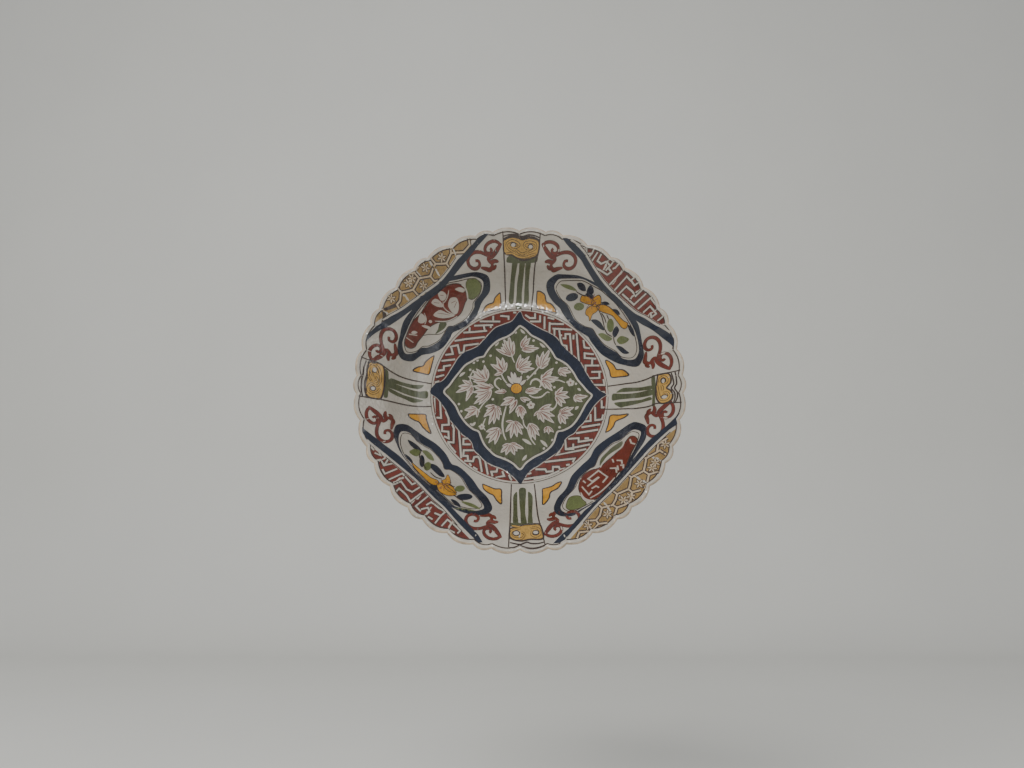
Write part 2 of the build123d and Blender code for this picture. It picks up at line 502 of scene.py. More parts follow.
def paint_sheet(outlines, cuts):
    """Triangles, in plan, of all that lies inside any outline and outside every cut."""
    outlines = [dense(o) for o in outlines]
    cuts = [dense(c) for c in cuts]
    low = np.vstack(outlines).min(axis=0)
    high = np.vstack(outlines).max(axis=0)
    columns = np.arange(low[0] + 0.5 * GRID, high[0], GRID)
    rows = np.arange(low[1] + 0.5 * GRID, high[1], GRID)
    # Every other row is moved on by half a step.
    grid = [(x + (j % 2) * 0.5 * GRID, z) for j, z in enumerate(rows) for x in columns]
    grid = np.array(grid).reshape(-1, 2)
    grid = grid[~near_break(np.hypot(grid[:, 0], grid[:, 1]))]
    middle = sizes().break_radius / MM + 0.5
    turn = np.linspace(0.0, TURN, int(TURN * middle / GRID), endpoint=False)
    for radius in np.arange(middle - BREAK_REACH, middle + BREAK_REACH, BREAK_STEP):
        grid = np.vstack([grid, np.column_stack([radius * np.cos(turn), radius * np.sin(turn)])])
    grid = grid[((grid > low) & (grid < high)).all(axis=1)]
    if len(grid):
        covered = np.zeros(len(grid), bool)
        for outline in outlines:
            covered |= inside(grid, outline) != 0
        grid = grid[covered]
        fine = near_break(np.hypot(grid[:, 0], grid[:, 1]))
        far_enough = clear_of(grid, outlines + cuts, 0.55 * GRID)
        far_enough[fine] = clear_of(grid[fine], outlines + cuts, 0.5 * BREAK_STEP)
        grid = grid[far_enough]
    points = [Vector(p) for p in grid]
    edges = []
    for outline in outlines + cuts:
        first = len(points)
        points.extend(Vector(p) for p in outline)
        count = len(outline)
        edges.extend((first + k, first + (k + 1) % count) for k in range(count))
    made = geometry.delaunay_2d_cdt(points, edges, [], 0, 1e-4)
    places = np.array([tuple(p) for p in made[0]])
    triangles = np.array([t for t in made[2] if len(t) == 3])
    middles = places[triangles].mean(axis=1)
    keep = np.zeros(len(triangles), bool)
    for outline in outlines:
        keep |= inside(middles, outline) != 0
    for cut in cuts:
        keep &= inside(middles, cut) == 0
    triangles = triangles[keep]
    corners = places[triangles]
    one = corners[:, 1] - corners[:, 0]
    two = corners[:, 2] - corners[:, 0]
    area = one[:, 0] * two[:, 1] - one[:, 1] * two[:, 0]
    triangles = triangles[np.abs(area) > 1e-7]
    area = area[np.abs(area) > 1e-7]
    triangles = np.where((area < 0)[:, None], triangles[:, ::-1], triangles)
    used, renumbered = np.unique(triangles, return_inverse=True)
    return places[used], renumbered.reshape(-1, 3)


def lay_down(plan, lift):
    """Plan points (mm) laid on the painted face, lifted along its normal; metres."""
    x, z = plan[:, 0] * MM, plan[:, 1] * MM
    small = 0.2 * MM
    height = front_height(x, z)
    slope_x = (front_height(x + small, z) - front_height(x - small, z)) / (2 * small)
    slope_z = (front_height(x, z + small) - front_height(x, z - small)) / (2 * small)
    scale = lift * MM / np.sqrt(1 + slope_x**2 + slope_z**2)
    # Near the crown of the lip the enamel runs thin, so it never stands proud of the plate's own depth.
    tall = np.minimum(height + scale, sizes().depth - CROWN_MARGIN)
    return np.column_stack([x - slope_x * scale, -tall, z - slope_z * scale])


def kept_on_rim(outline):
    """The outline with every point past the crown of the lip drawn back to it."""
    outline = np.array(outline, float)
    far = np.hypot(outline[:, 0], outline[:, 1])
    limit = rim_radius(np.arctan2(outline[:, 1], outline[:, 0])) / MM - CROWN_INSET
    return outline * np.minimum(1.0, limit / np.maximum(far, 1.0))[:, None]


def paint(name, colour, layer, outlines, cuts=()):
    """A thin raised layer of enamel with its own thickness, over all the outlines together."""
    plan, triangles = paint_sheet([kept_on_rim(outline) for outline in outlines], list(cuts))
    count = len(plan)
    top = lay_down(plan, FIRST_LAYER + LAYER * layer)
    under = lay_down(plan, -SUNK)
    sides = np.vstack([triangles[:, [0, 1]], triangles[:, [1, 2]], triangles[:, [2, 0]]])
    forward = {(a, b) for a, b in sides.tolist()}
    border = [(a, b) for a, b in forward if (b, a) not in forward]
    border.sort()
    # Seen from the front (-Y) with X to the right and Z up, the plan's own turn faces the viewer.
    faces = [tuple(t) for t in triangles.tolist()]
    faces += [(c + count, b + count, a + count) for a, b, c in triangles.tolist()]
    faces += [(b, a, a + count, b + count) for a, b in border]
    mesh = bpy.data.meshes.new(name)
    mesh.from_pydata(np.vstack([top, under]).tolist(), [], faces)
    mesh.update()
    piece = bpy.data.objects.new(name, mesh)
    bpy.context.scene.collection.objects.link(piece)
    mesh.polygons.foreach_set("use_smooth", np.ones(len(faces), bool))
    mesh.set_sharp_from_angle(angle=math.radians(35.0))
    place_on_plate(piece, finish_of(colour))


# ---- finishes -------------------------------------------------------------
GRAIN_ROUGHNESS = 0.55
COAT = 0.3
COAT_ROUGHNESS = 0.03
RUST = (0.20, 0.085, 0.035)


class Finish:
    """A new material, with short ways to the nodes that the finishes share."""

    def __init__(self, name):
        old = bpy.data.materials.get(name)
        if old:
            bpy.data.materials.remove(old)
        self.material = bpy.data.materials.new(name)
        self.material.use_nodes = True
        self.tree = self.material.node_tree
        self.shader = self.tree.nodes["Principled BSDF"]
        self.place = self.node("TexCoord", "Object", {})

    def fill(self, socket, value):
        """Links a socket, or stores a plain value; a colour gets its alpha."""
        if isinstance(value, bpy.types.NodeSocket):
            self.tree.links.new(value, socket)
        elif socket.type == "RGBA":
            socket.default_value = (*value, 1.0)
        else:
            socket.default_value = value

    def put(self, name, value):
        """Sets one input of the shader."""
        self.fill(self.shader.inputs[name], value)

    def node(self, kind, output, inputs, **settings):
        """One output of a new node."""
        node = self.tree.nodes.new(f"ShaderNode{kind}")
        for key, value in settings.items():
            setattr(node, key, value)
        for key, value in inputs.items():
            self.fill(node.inputs[key], value)
        return node.outputs[output]

    def grain(self, scale, detail=3.0, place=None):
        """Soft noise."""
        place = self.place if place is None else place
        inputs = {"Scale": scale, "Detail": detail, "Roughness": GRAIN_ROUGHNESS, "Vector": place}
        return self.node("TexNoise", "Fac", inputs)

    def specks(self, scale):
        """Distance to the nearest of many scattered points."""
        return self.node("TexVoronoi", "Distance", {"Scale": scale, "Vector": self.place})

    def stretched(self, scales, turn=(0.0, 0.0, 0.0)):
        """Coordinates drawn out along some directions."""
        inputs = {"Scale": scales, "Rotation": turn, "Vector": self.place}
        return self.node("Mapping", "Vector", inputs)

    def ranged(self, value, low, high, out_low=0.0, out_high=1.0):
        """A value spread between two levels."""
        inputs = {"From Min": low, "From Max": high, "To Min": out_low, "To Max": out_high, "Value": value}
        return self.node("MapRange", "Result", inputs)

    def patches(self, scale, detail, low, high, out_low=0.0, out_high=1.0, place=None):
        """Soft noise spread between two levels."""
        return self.ranged(self.grain(scale, detail, place), low, high, out_low, out_high)

    def combine(self, kind, first, second):
        """Arithmetic on two sockets or numbers."""
        return self.node("Math", "Value", {0: first, 1: second}, operation=kind)

    def blend(self, factor, first, second):
        """Colour between two colours or sockets."""
        return self.node("Mix", 2, {"Factor": factor, 6: first, 7: second}, data_type="RGBA")

    def ripples(self):
        """Height of a fired glaze's skin: slow waves with a fine grain on them."""
        fine = self.combine("MULTIPLY", self.grain(1500.0, 2.0), 0.06)
        return self.combine("ADD", self.grain(330.0, 2.0), fine)

    def relief(self, height, strength, distance):
        """Bumps of the surface and of the clear coat on it."""
        inputs = {"Strength": strength, "Distance": distance, "Height": height}
        bumps = self.node("Bump", "Normal", inputs)
        self.put("Normal", bumps)
        self.put("Coat Normal", bumps)


def shade(colour, amount):
    return tuple(min(1.0, max(0.0, c * amount)) for c in colour)


def enamel(name, colour, thin, pool):
    """Brushed enamel: thin streaks, darker pools, a glossy skin with fine ripples."""
    look = Finish(name)
    colour = tuple(colour)
    pooled = look.patches(85.0, 2.0, 0.35, 0.68)
    along = look.stretched((1.0, 1.0, 0.24), (0.0, 0.6, 0.0))
    streaks = look.patches(900.0, 3.0, 0.42, 0.66, place=along)
    body = look.blend(pooled, shade(colour, pool), colour)
    look.put("Base Color", look.blend(look.ranged(streaks, 0.0, 1.0, 0.0, 0.55), body, shade(colour, thin)))
    look.put("Roughness", look.patches(260.0, 2.0, 0.3, 0.7, 0.10, 0.20))
    look.relief(look.ripples(), 0.6, 0.0004)
    look.put("Coat Weight", COAT)
    look.put("Coat Roughness", COAT_ROUGHNESS)
    return look.material


# Each enamel: how far its thin streaks lighten it, and how far its pools darken it.
ENAMELS = {
    "navy": (1.7, 0.7),
    "iron_red": (1.35, 0.62),
    "olive": (1.4, 0.66),
    "leaf_green": (1.4, 0.7),
    "ochre": (1.3, 0.66),
    "cloud": (1.25, 0.66),
    "orange": (1.2, 0.62),
    "outline": (1.9, 0.7),
    "vein": (1.3, 0.75),
    "cream": (1.12, 0.8),
    "white": (1.08, 0.9),
}
WHITE_ON_GLAZE = 0.97


def finish_of(name):
    """One of the enamels, made the first time that it is asked for."""
    material = bpy.data.materials.get(f"{name}_enamel")
    if material:
        return material
    c = colours()
    colour = shade(tuple(c.glaze), WHITE_ON_GLAZE) if name == "white" else getattr(c, name)
    return enamel(f"{name}_enamel", colour, *ENAMELS[name])


def painted_glaze():
    """Warm white glaze of the painted side: cloudy, speckled, buff over the outer side of the lip."""
    c = colours()
    ground = tuple(c.glaze)
    buff = tuple(c.lip)
    look = Finish("glaze_front")
    cloud = look.patches(26.0, 4.0, 0.36, 0.66)
    base = look.blend(cloud, shade(ground, 0.86), shade(ground, 1.05))
    fine = look.patches(700.0, 3.0, 0.5, 0.8, 0.0, 0.35)
    base = look.blend(fine, base, shade(ground, 0.72))
    dots = look.ranged(look.specks(340.0), 0.055, 0.085, 1.0, 0.0)
    scatter = look.patches(60.0, 2.0, 0.56, 0.66)
    base = look.blend(look.combine("MULTIPLY", dots, scatter), base, shade(buff, 0.45))
    # Buff colour over the outer side of the lip, growing from its crown outwards.
    edge = look.node("Attribute", "Fac", {}, attribute_name="lip_share")
    uneven = look.patches(120.0, 3.0, 0.3, 0.7, -0.22, 0.22)
    on_lip = look.ranged(look.combine("ADD", edge, uneven), 0.16, 0.52)
    lip = look.blend(look.patches(210.0, 3.0, 0.35, 0.65), shade(buff, 0.7), shade(buff, 1.15))
    look.put("Base Color", look.blend(on_lip, base, lip))
    look.put("Roughness", look.patches(190.0, 2.0, 0.3, 0.7, 0.08, 0.18))
    look.relief(look.ripples(), 0.9, 0.0009)
    look.put("Coat Weight", COAT)
    look.put("Coat Roughness", COAT_ROUGHNESS)
    return look.material


def rear_glaze():
    """Greyer glaze of the back, with throwing rings, runs and pinholes."""
    c = colours()
    ground = tuple(c.back_glaze)
    look = Finish("glaze_back")
    radius = look.node("VectorMath", "Value", {0: look.stretched((1.0, 0.0, 1.0))}, operation="LENGTH")
    wander = look.combine("MULTIPLY", look.grain(18.0, 2.0), 9.0)
    waves = look.combine("ADD", look.combine("MULTIPLY", radius, 1500.0), wander)
    rings = look.node("Math", "Value", {0: waves}, operation="SINE")
    cloud = look.patches(30.0, 4.0, 0.34, 0.68)
    base = look.blend(cloud, shade(ground, 0.74), shade(ground, 1.12))
    runs = look.patches(30.0, 3.0, 0.55, 0.72, 0.0, 0.45, look.stretched((5.0, 5.0, 1.0)))
    base = look.blend(runs, base, shade(ground, 1.3))
    pits = look.ranged(look.specks(260.0), 0.06, 0.10, 1.0, 0.0)
    scatter = look.patches(70.0, 2.0, 0.54, 0.64)
    base = look.blend(look.combine("MULTIPLY", pits, scatter), base, shade(tuple(c.clay), 0.6))
    look.put("Base Color", base)
    look.put("Roughness", look.patches(150.0, 2.0, 0.3, 0.7, 0.22, 0.42))
    skin = look.combine("ADD", look.combine("MULTIPLY", rings, 0.35), look.grain(160.0, 3.0))
    look.relief(skin, 0.6, 0.0006)
    look.put("Coat Weight", 0.25)
    return look.material


def bare_clay():
    """Unglazed clay of the standing face: sandy, rubbed and dusty."""
    ground = tuple(colours().clay)
    look = Finish("bare_clay")
    cloud = look.patches(90.0, 5.0, 0.35, 0.65)
    base = look.blend(cloud, shade(ground, 0.72), shade(ground, 1.25))
    sand = look.ranged(look.specks(900.0), 0.1, 0.3, 0.6, 0.0)
    look.put("Base Color", look.blend(sand, base, shade(ground, 0.5)))
    look.put("Roughness", 0.86)
    coarse = look.combine("MULTIPLY", look.grain(300.0, 2.0), 0.8)
    look.relief(look.combine("ADD", look.grain(1600.0, 4.0), coarse), 0.8, 0.0004)
    return look.material


def zinc_wire():
    """Dull galvanised wire: grey bloom, fine draw marks and a few rusty patches."""
    metal = tuple(colours().wire)
    look = Finish("zinc_wire")
    bloom = look.patches(420.0, 4.0, 0.36, 0.66)
    base = look.blend(bloom, shade(metal, 0.62), shade(metal, 1.2))
    rust = look.patches(150.0, 4.0, 0.64, 0.72, 0.0, 0.7)
    look.put("Base Color", look.blend(rust, base, RUST))
    look.put("Metallic", look.ranged(rust, 0.0, 0.7, 1.0, 0.25))
    look.put("Roughness", look.ranged(bloom, 0.0, 1.0, 0.32, 0.55))
    look.relief(look.grain(2600.0, 3.0), 0.5, 0.00008)
    return look.material


# ---- the pieces -----------------------------------------------------------
class PLATE_OT_body(bpy.types.Operator):
    """Throw the plate: turn its section, scallop the rim and drill the foot ring"""

    bl_idname = "plate.body"
    bl_label = "Thrown body"

    def execute(self, context):
        s = sizes()
        front = front_section()
        lip = lip_section()
        section = np.vstack([front, lip, back_section(tuple(lip[-1]))])
        around = 36 * s.repeats
        clear_selection()
        bpy.ops.mesh.primitive_circle_add(vertices=len(section), radius=s.radius, fill_type="NOTHING")
        piece = made_piece("plate_body")
        set_points(piece, np.column_stack([section[:, 0], -section[:, 1], np.zeros(len(section))]))
        last = len(section) - 1
        context.tool_settings.mesh_select_mode = (False, True, False)
        piece.data.vertices.foreach_set("select", np.zeros(last + 1, bool))
        for edge in piece.data.edges:
            edge.select = set(edge.vertices) == {0, last}
        bpy.ops.object.mode_set(mode="EDIT")
        bpy.ops.mesh.delete(type="EDGE")
        bpy.ops.mesh.select_mode(type="VERT")
        bpy.ops.mesh.select_all(action="SELECT")
        bpy.ops.mesh.spin(steps=around, angle=TURN, center=(0.0, 0.0, 0.0), axis=(0.0, 1.0, 0.0))
        bpy.ops.mesh.select_all(action="SELECT")
        bpy.ops.mesh.remove_doubles(threshold=0.000002)
        bpy.ops.mesh.normals_make_consistent(inside=False)
        bpy.ops.object.mode_set(mode="OBJECT")
        self.scallop(piece, around)
        self.drill(piece)
        self.finish(piece)
        return {"FINISHED"}

    def scallop(self, piece, around):
        """Sets each turning step on its angle, and draws the rim in at every notch."""
        s = sizes()
        points = get_points(piece)
        radius = np.hypot(points[:, 0], points[:, 2])
        angle = np.arctan2(points[:, 2], points[:, 0])
        table = np.array([step_angle(k, around) for k in range(around + 1)])
        angle = table[np.rint(np.mod(angle, TURN) / TURN * around).astype(int)]
        lip_middle = s.radius - s.lip_radius
        share = np.clip((radius - s.break_radius) / (lip_middle - s.break_radius), 0.0, 1.0)
        pulled = radius + (rim_radius(angle) - s.radius) * share
        set_points(piece, np.column_stack([pulled * np.cos(angle), points[:, 1], pulled * np.sin(angle)]))
        # How far round the lip each point lies, for the finish: 0 at its crown, 1 at its outer edge.
        round_lip = np.clip((radius - lip_middle) / s.lip_radius, 0.0, 1.0)
        lip_share = piece.data.attributes.new("lip_share", "FLOAT", "POINT")
        lip_share.data.foreach_set("value", round_lip.astype(np.float32))

    def drill(self, piece):
        """Cuts the two holes that take the hanging wire through the foot ring."""
        s = sizes()
        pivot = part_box("hanging_wire")
        wire = context_wire()
        hole = wire.diameter / 2 + s.hole_clearance
        height = pivot[0][2] + wire.diameter / 2
        clear_selection()
        bpy.ops.mesh.primitive_cylinder_add(
            vertices=32,
            radius=hole,
            depth=2 * s.foot_radius,
            location=(0.0, -s.foot_height / 2, height),
            rotation=(0.0, math.pi / 2, 0.0),
        )
        drill = bpy.context.active_object
        cut = piece.modifiers.new("wire_holes", "BOOLEAN")
        cut.operation = "DIFFERENCE"
        cut.object = drill
        clear_selection()
        piece.select_set(True)
        bpy.context.view_layer.objects.active = piece
        bpy.ops.object.modifier_apply(modifier=cut.name)
        bpy.data.objects.remove(drill)

    def finish(self, piece):
        s = sizes()
        for material in (painted_glaze(), rear_glaze(), bare_clay()):
            piece.data.materials.append(material)
        lip_back = s.depth - 3.4 * MM
        for face in piece.data.polygons:
            middle = face.center
            radius = math.hypot(middle.x, middle.z)
            height = -middle.y
            outward = -face.normal.y
            if height < 0.3 * MM and outward < -0.9:
                face.material_index = 2
            elif outward > 0.05 or height > lip_back and radius > s.break_radius:
                face.material_index = 0
            else:
                face.material_index = 1
        clear_selection()
        piece.select_set(True)
        bpy.context.view_layer.objects.active = piece
        bpy.ops.object.shade_smooth_by_angle(angle=math.radians(40.0))
        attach(piece, "plate")
        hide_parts("plate")


def context_wire():
    return bpy.context.scene.wire_sizes


def wire_route():
    """Middle of the wire in its own flat plane: X along the holes, up from them, and out of the plane."""
    w = context_wire()
    thick = w.diameter
    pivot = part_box("hanging_wire")
    arm = pivot[1][0] - thick / 2
    bend = w.bend_radius + thick / 2
    turn = np.linspace(0.0, math.pi / 2, 9)
    right = [(x, 0.0, 0.0) for x in np.linspace(0.0, arm - bend, 12)[:-1]]
    right += [(arm - bend + bend * math.sin(t), bend - bend * math.cos(t), 0.0) for t in turn]
    right.append((arm, w.arm_rise * 0.8, 0.0))
    shoulder = np.array([(arm, w.arm_rise), (arm - 1.4 * MM, w.arm_rise + 2.6 * MM)])
    neck = np.array((thick / 2, w.neck_rise))
    right.append((shoulder[0][0] - 0.15 * MM, shoulder[0][1], 0.0))
    for share in np.linspace(0.0, 1.0, 16)[1:-1]:
        x, up = shoulder[1] + (neck - shoulder[1]) * share
        # A bent arm is never quite straight: it bows out a little towards the neck.
        right.append((x + 0.6 * MM * math.sin(share * math.pi), up, 0.0))
    strands = []
    for side in (0.0, math.pi):
        coil = []
        for share in np.linspace(0.0, 1.0, 46):
            angle = side + w.neck_turns * TURN * share
            up = w.neck_rise + w.neck_length * share
            coil.append((thick / 2 * math.cos(angle), up, thick / 2 * math.sin(angle)))
        strands.append(coil)
    left = [(-x, up, 0.0) for x, up, _ in reversed(right)][:-1]
    ring = w.eye_radius + thick / 2
    middle = w.neck_rise + w.neck_length + ring
    sense = 1.0 if strands[0][-1][0] > 0 else -1.0
    start = math.radians(20.0)
    eye = []
    for angle in np.linspace(start, TURN - start, 40):
        eye.append((sense * ring * math.sin(angle), middle - ring * math.cos(angle), 0.0))
    return list(reversed(strands[1])) + left + right + strands[0] + eye


class PLATE_OT_wire(bpy.types.Operator):
    """Bend the hanging wire: through the foot ring, wound at the neck, with an eye for the nail"""

    bl_idname = "plate.wire"
    bl_label = "Hanging wire"

    def execute(self, context):
        w = context_wire()
        low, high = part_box("hanging_wire")
        thick = w.diameter
        pivot_y = high[1] - thick / 2
        pivot_z = low[2] + thick / 2
        ring = w.eye_radius + thick / 2
        reach = w.neck_rise + w.neck_length + ring
        lean = math.asin((pivot_y - (low[1] + thick / 2)) / (reach + ring))
        clear_selection()
        bpy.ops.curve.primitive_bezier_curve_add()
        guide = bpy.context.active_object
        guide.data.splines.clear()
        route = wire_route()
        spline = guide.data.splines.new("POLY")
        spline.points.add(len(route) - 1)
        for point, (x, up, out) in zip(spline.points, route):
            y = pivot_y - up * math.sin(lean) + out * math.cos(lean)
            z = pivot_z + up * math.cos(lean) + out * math.sin(lean)
            point.co = (x, y, z, 1.0)
        guide.data.dimensions = "3D"
        guide.data.bevel_depth = thick / 2
        guide.data.bevel_resolution = 4
        guide.data.use_fill_caps = True
        bpy.ops.object.convert(target="MESH")
        piece = made_piece("wire_loop")
        bpy.ops.object.mode_set(mode="EDIT")
        bpy.ops.mesh.select_all(action="SELECT")
        bpy.ops.mesh.remove_doubles(threshold=0.000002)
        bpy.ops.mesh.normals_make_consistent(inside=False)
        bpy.ops.object.mode_set(mode="OBJECT")
        bpy.ops.object.shade_smooth_by_angle(angle=math.radians(50.0))
        piece.data.materials.clear()
        piece.data.materials.append(zinc_wire())
        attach(piece, "wire")
        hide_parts("hanging_wire")
        return {"FINISHED"}


# ---- medallion in the well ------------------------------------------------
MEDALLION_EDGE = (
    ((0.5, 71), (4, 65), (10, 60.5), (18, 56), (25, 52.5), (31, 48.5), (35, 43), (40.5, 37)),
    ((46, 32), (51, 27), (54.5, 20), (58, 14), (62, 8), (67, 3), (72, 0), (68, -3), (62, -9)),
    ((58, -15), (53, -23), (48, -28), (45, -32), (40, -35), (37, -38), (35.5, -42), (33, -46)),
    ((28, -50), (22, -54), (15, -59), (10, -62), (6, -66), (3, -71), (0.5, -74), (-3, -70)),
    ((-8, -65.5), (-14, -61.5), (-22, -58.5), (-28, -55), (-33, -50), (-37, -46), (-39, -40)),
    ((-42, -36.5), (-47, -33), (-52, -27), (-57, -21), (-60, -14), (-64, -8), (-68, -3), (-74, 2)),
    ((-70, 9), (-64, 11.5), (-60, 16), (-57, 21), (-54, 26), (-51, 31), (-46, 36), (-40, 38.5)),
    ((-35, 41), (-32, 44), (-28, 48.5), (-25, 52), (-20, 57), (-13, 60), (-6, 63)),
)
MEDALLION_LINE = (
    ((0.5, 59), (5, 56), (10, 50.8), (15, 48), (20, 45), (25, 39.5), (27.5, 36), (30, 31.5), (31, 30.5)),
    ((35, 28.5), (40, 25), (45, 18.5), (48, 13), (52, 8), (57, 2), (60, -1), (55, -8), (50, -17)),
    ((46, -23), (42, -27), (36, -30), (31.5, -31), (30, -34), (28, -40), (24, -45), (19, -48.5)),
    ((12, -52), (5, -57), (0.5, -62), (-5, -57.5), (-10, -54.5), (-15, -52.5), (-20, -50.5)),
    ((-25, -46), (-28.5, -42), (-31, -37), (-33.5, -31), (-38, -29), (-44, -24), (-49, -17)),
    ((-53, -9), (-58, -3), (-62.5, 2.5), (-58, 8), (-55, 12.5), (-50, 19), (-45, 25), (-40, 28)),
    ((-35, 31), (-29.5, 32.5), (-28, 35), (-25, 39.5), (-20, 44.5), (-15, 47.5), (-10, 49.5)),
    ((-5, 53), (-2, 56.5)),
)
# White leaves and flowers of the medallion, each drawn once.
LEAVES = (
    ((-5, 31.5), (-10, 33), (-13, 36), (-19, 38.5), (-15, 40), (-14, 43), (-13, 47), (-9, 50), (-5, 45),
     (-4, 38)), ((1, 39), (2, 43), (3, 47), (6, 50), (9, 48), (8, 44), (6, 41)),
    ((1, 37.5), (7, 41), (12, 41.5), (16, 39.5), (12, 37), (6, 37.5)),
    ((-3, 20), (-1, 29), (1, 33.5), (3, 30.5), (8, 32), (9, 28), (10, 26), (12, 22), (7, 19.5),
     (2, 19.5)),
    ((25.5, 38.5), (20, 36), (15, 33.5), (14, 29), (16, 26), (17, 21), (21, 22.5), (24, 26), (25.5, 31)),
    ((-23.5, 25.5), (-18.5, 27.5), (-19, 31.5), (-14, 31), (-10.5, 27), (-10.5, 22), (-12, 18.5),
     (-20.5, 16.5), (-18.5, 20), (-20, 22.5)),
    ((-42, 15), (-39, 20), (-35.5, 21.5), (-32, 18.5), (-29, 24.5), (-26.5, 21), (-26, 11), (-33, 10.5),
     (-38, 11)), ((-22, 5), (-33, 6), (-38, 2), (-36, -2), (-37, -7.5), (-33, -8), (-27, -5), (-24, 0)),
    ((-20, 5.5), (-25, 9), (-35, 9.5), (-38, 7), (-36, 5.5)),
    ((-52, 2), (-50, 7), (-47, 12), (-42, 12), (-38, 8), (-40, 0), (-44, -5), (-43, 2)),
    ((-45, -13), (-41, -10), (-39, -12.5), (-34, -11.5), (-32.5, -15), (-35, -19), (-45, -20),
     (-43, -17)),
    ((-28, -10), (-24, -8.5), (-19, -8.5), (-15.5, -12), (-15, -17), (-17, -21), (-21, -24), (-25, -24.5),
     (-23.5, -20), (-29, -18.5), (-25, -16), (-27, -13.5)),
    ((-15, -9), (-13, -4), (-8, -2.5), (-3, -2.5), (-8, -5.5), (-11, -9)),
    ((-8, -15.5), (-8, -11), (-5, -7), (-1.5, -3.5), (-3, -8), (-5, -12)),
    ((0, -8), (3, -11), (5.5, -15.5), (4, -17), (2.5, -20.5), (1, -17.5), (-1, -18.5), (-3, -15),
     (-2, -12)), ((0, -2.5), (4, -4), (9, -4.5), (5, -6.5), (2, -5.5)),
    ((4, 1.5), (8, 5.5), (13, 6), (18, 4.5), (15, 2), (9, 1.5)),
    ((17, 13), (19, 17), (24, 18.5), (28, 22), (27, 18.5), (32, 14), (29, 11), (25, 12), (27, 7),
     (27, 3.5), (22, 5), (20, 10)),
    ((29, -1), (30.5, 3), (34, 3.5), (36, 6), (36.5, 2), (40, 2), (41, -2.5), (38, -7), (35, -10),
     (32, -7.5), (30, -4)), ((31.5, 20), (35, 23), (41, 22.5), (43, 19), (39, 15.5), (34.5, 16)),
    ((44, -3), (47, 0), (51, 0), (56, -1.5), (52, -6), (47, -6.5)),
    ((26, -8.5), (21, -11.5), (15, -13), (12, -18), (17, -16), (16, -21), (20, -23), (22, -19), (25, -22),
     (28, -23.5), (28.5, -18), (28, -12)),
    ((32, -16), (35, -12), (40, -10.5), (44.5, -11), (42, -15), (44, -17), (40, -20), (38, -24.5),
     (34, -24.5), (32, -20)),
    ((8, -23), (12, -26), (16, -29.5), (16, -34), (13, -37.5), (10, -35.5), (7, -31), (7, -27)),
    ((20, -30), (23, -26), (26, -27.5), (28, -31.5), (24, -33), (20.5, -32)),
    ((-11, -22.5), (-5, -21.5), (0, -24), (3, -28), (-1, -27.5), (2, -33), (-2, -35), (-6, -33),
     (-7, -36), (-11, -31)),
    ((-27, -31), (-21, -29.5), (-16, -27), (-15, -33), (-18, -37), (-20, -41), (-25, -40), (-27, -36)),
    ((-15, -48), (-14, -43), (-8, -40), (-2, -41), (3, -45), (-2, -47), (-4, -50), (-8, -47.5),
     (-11, -50)), ((-20, 2), (-15, 4.5), (-10, 2.5), (-15, 1)),
)
# Curved stems between the leaves: points, width.
STEMS = (
    (((-11, -10), (-13, -18), (-14, -25), (-13, -33), (-11, -38)), 1.5),
    (((9, 8), (10.5, 11.6), (14, 13), (17.4, 11), (18, 8), (16.5, 6)), 1.6),
    (((8, -0.5), (12, -2.5), (18, -2), (23, 2), (25, 1.5)), 1.3),
    (((-16, 4), (-20, 8), (-20, 12), (-17, 14), (-15, 12.5)), 1.4),
    (((7, -31), (10, -38), (13, -42)), 1.2), (((2, 17), (3, 21), (2, 26)), 1.2),
    (((6, 12), (11, 17), (16, 23), (17, 28)), 1.2), (((-9, 8), (-13, 13), (-16, 20)), 1.2),
    (((-4, 27), (-6, 32), (-7, 38)), 1.1), (((26, -14), (30, -10), (31, -6)), 1.1),
    (((-24, -2), (-30, -8), (-34, -14)), 1.1), (((-28, -30), (-30, -26), (-28, -20)), 1.1),
    (((3, -21), (4, -26), (8, -30)), 1.1), (((28, 12), (33, 12), (38, 10)), 1.1),
    (((-40, 10), (-41, 15), (-38, 21)), 1.0),
)
SMALL_LEAVES = (
    ((2, -37), (10, -42), 2.6), ((17, -38), (23, -44), 2.6), ((-36, -23), (-40, -26.5), 2.2),
    ((5, 52), (1, 56), 2.0), ((22, 40), (17, 44), 2.0), ((-50, 15), (-45, 19), 2.2),
    ((48, 5), (51, 3), 2.0), ((46, -13), (49, -10), 2.2), ((-20, 41), (-17, 45), 2.0),
    ((6, -50), (2, -55), 2.2),
)
DOTS = (
    (-40, -25), (-41, 21), (-35, 29), (-38, 27), (-24, 33), (7, 15), (13, 18), (29, 6), (33, -27.5),
    (20, 41), (-22, -4), (-48, -14), (-50, -8), (38, 26), (47, 9), (-30, 28), (12, 46), (-3, 53),
    (-26, 38), (27, -38), (20, -45), (-24, -46), (-12, -53), (31, 27),
)
# Points of the flower's petals, and its middle.
PETALS = ((-11, 9), (-10, 16), (-7, 19.5), (-4, 19), (-1, 15), (2, 16), (5.5, 12.5))
FLOWER_HEART = (-2.5, 5.0)
# Small round flowers of the ground: middle, petal length and width of the heart.
BUDS = ((9.5, -9, 3.2, 1.4), (42.5, 10, 3.2, 1.4), (-31, -27, 2.4, 1.1))
# Share of a leaf that is solid, then the least reach, overshoot and widths of its lobes.
LEAF_SOLID = 0.56
LOBE_LEAST = 3.2
LOBE_OVERSHOOT = 1.07
LOBE_WIDEST = 3.6
LOBE_WIDTH = 0.36


def chained(parts):
    return [point for part in parts for point in part]


def centre_of(points):
    return np.mean(np.array(points, float), axis=0)


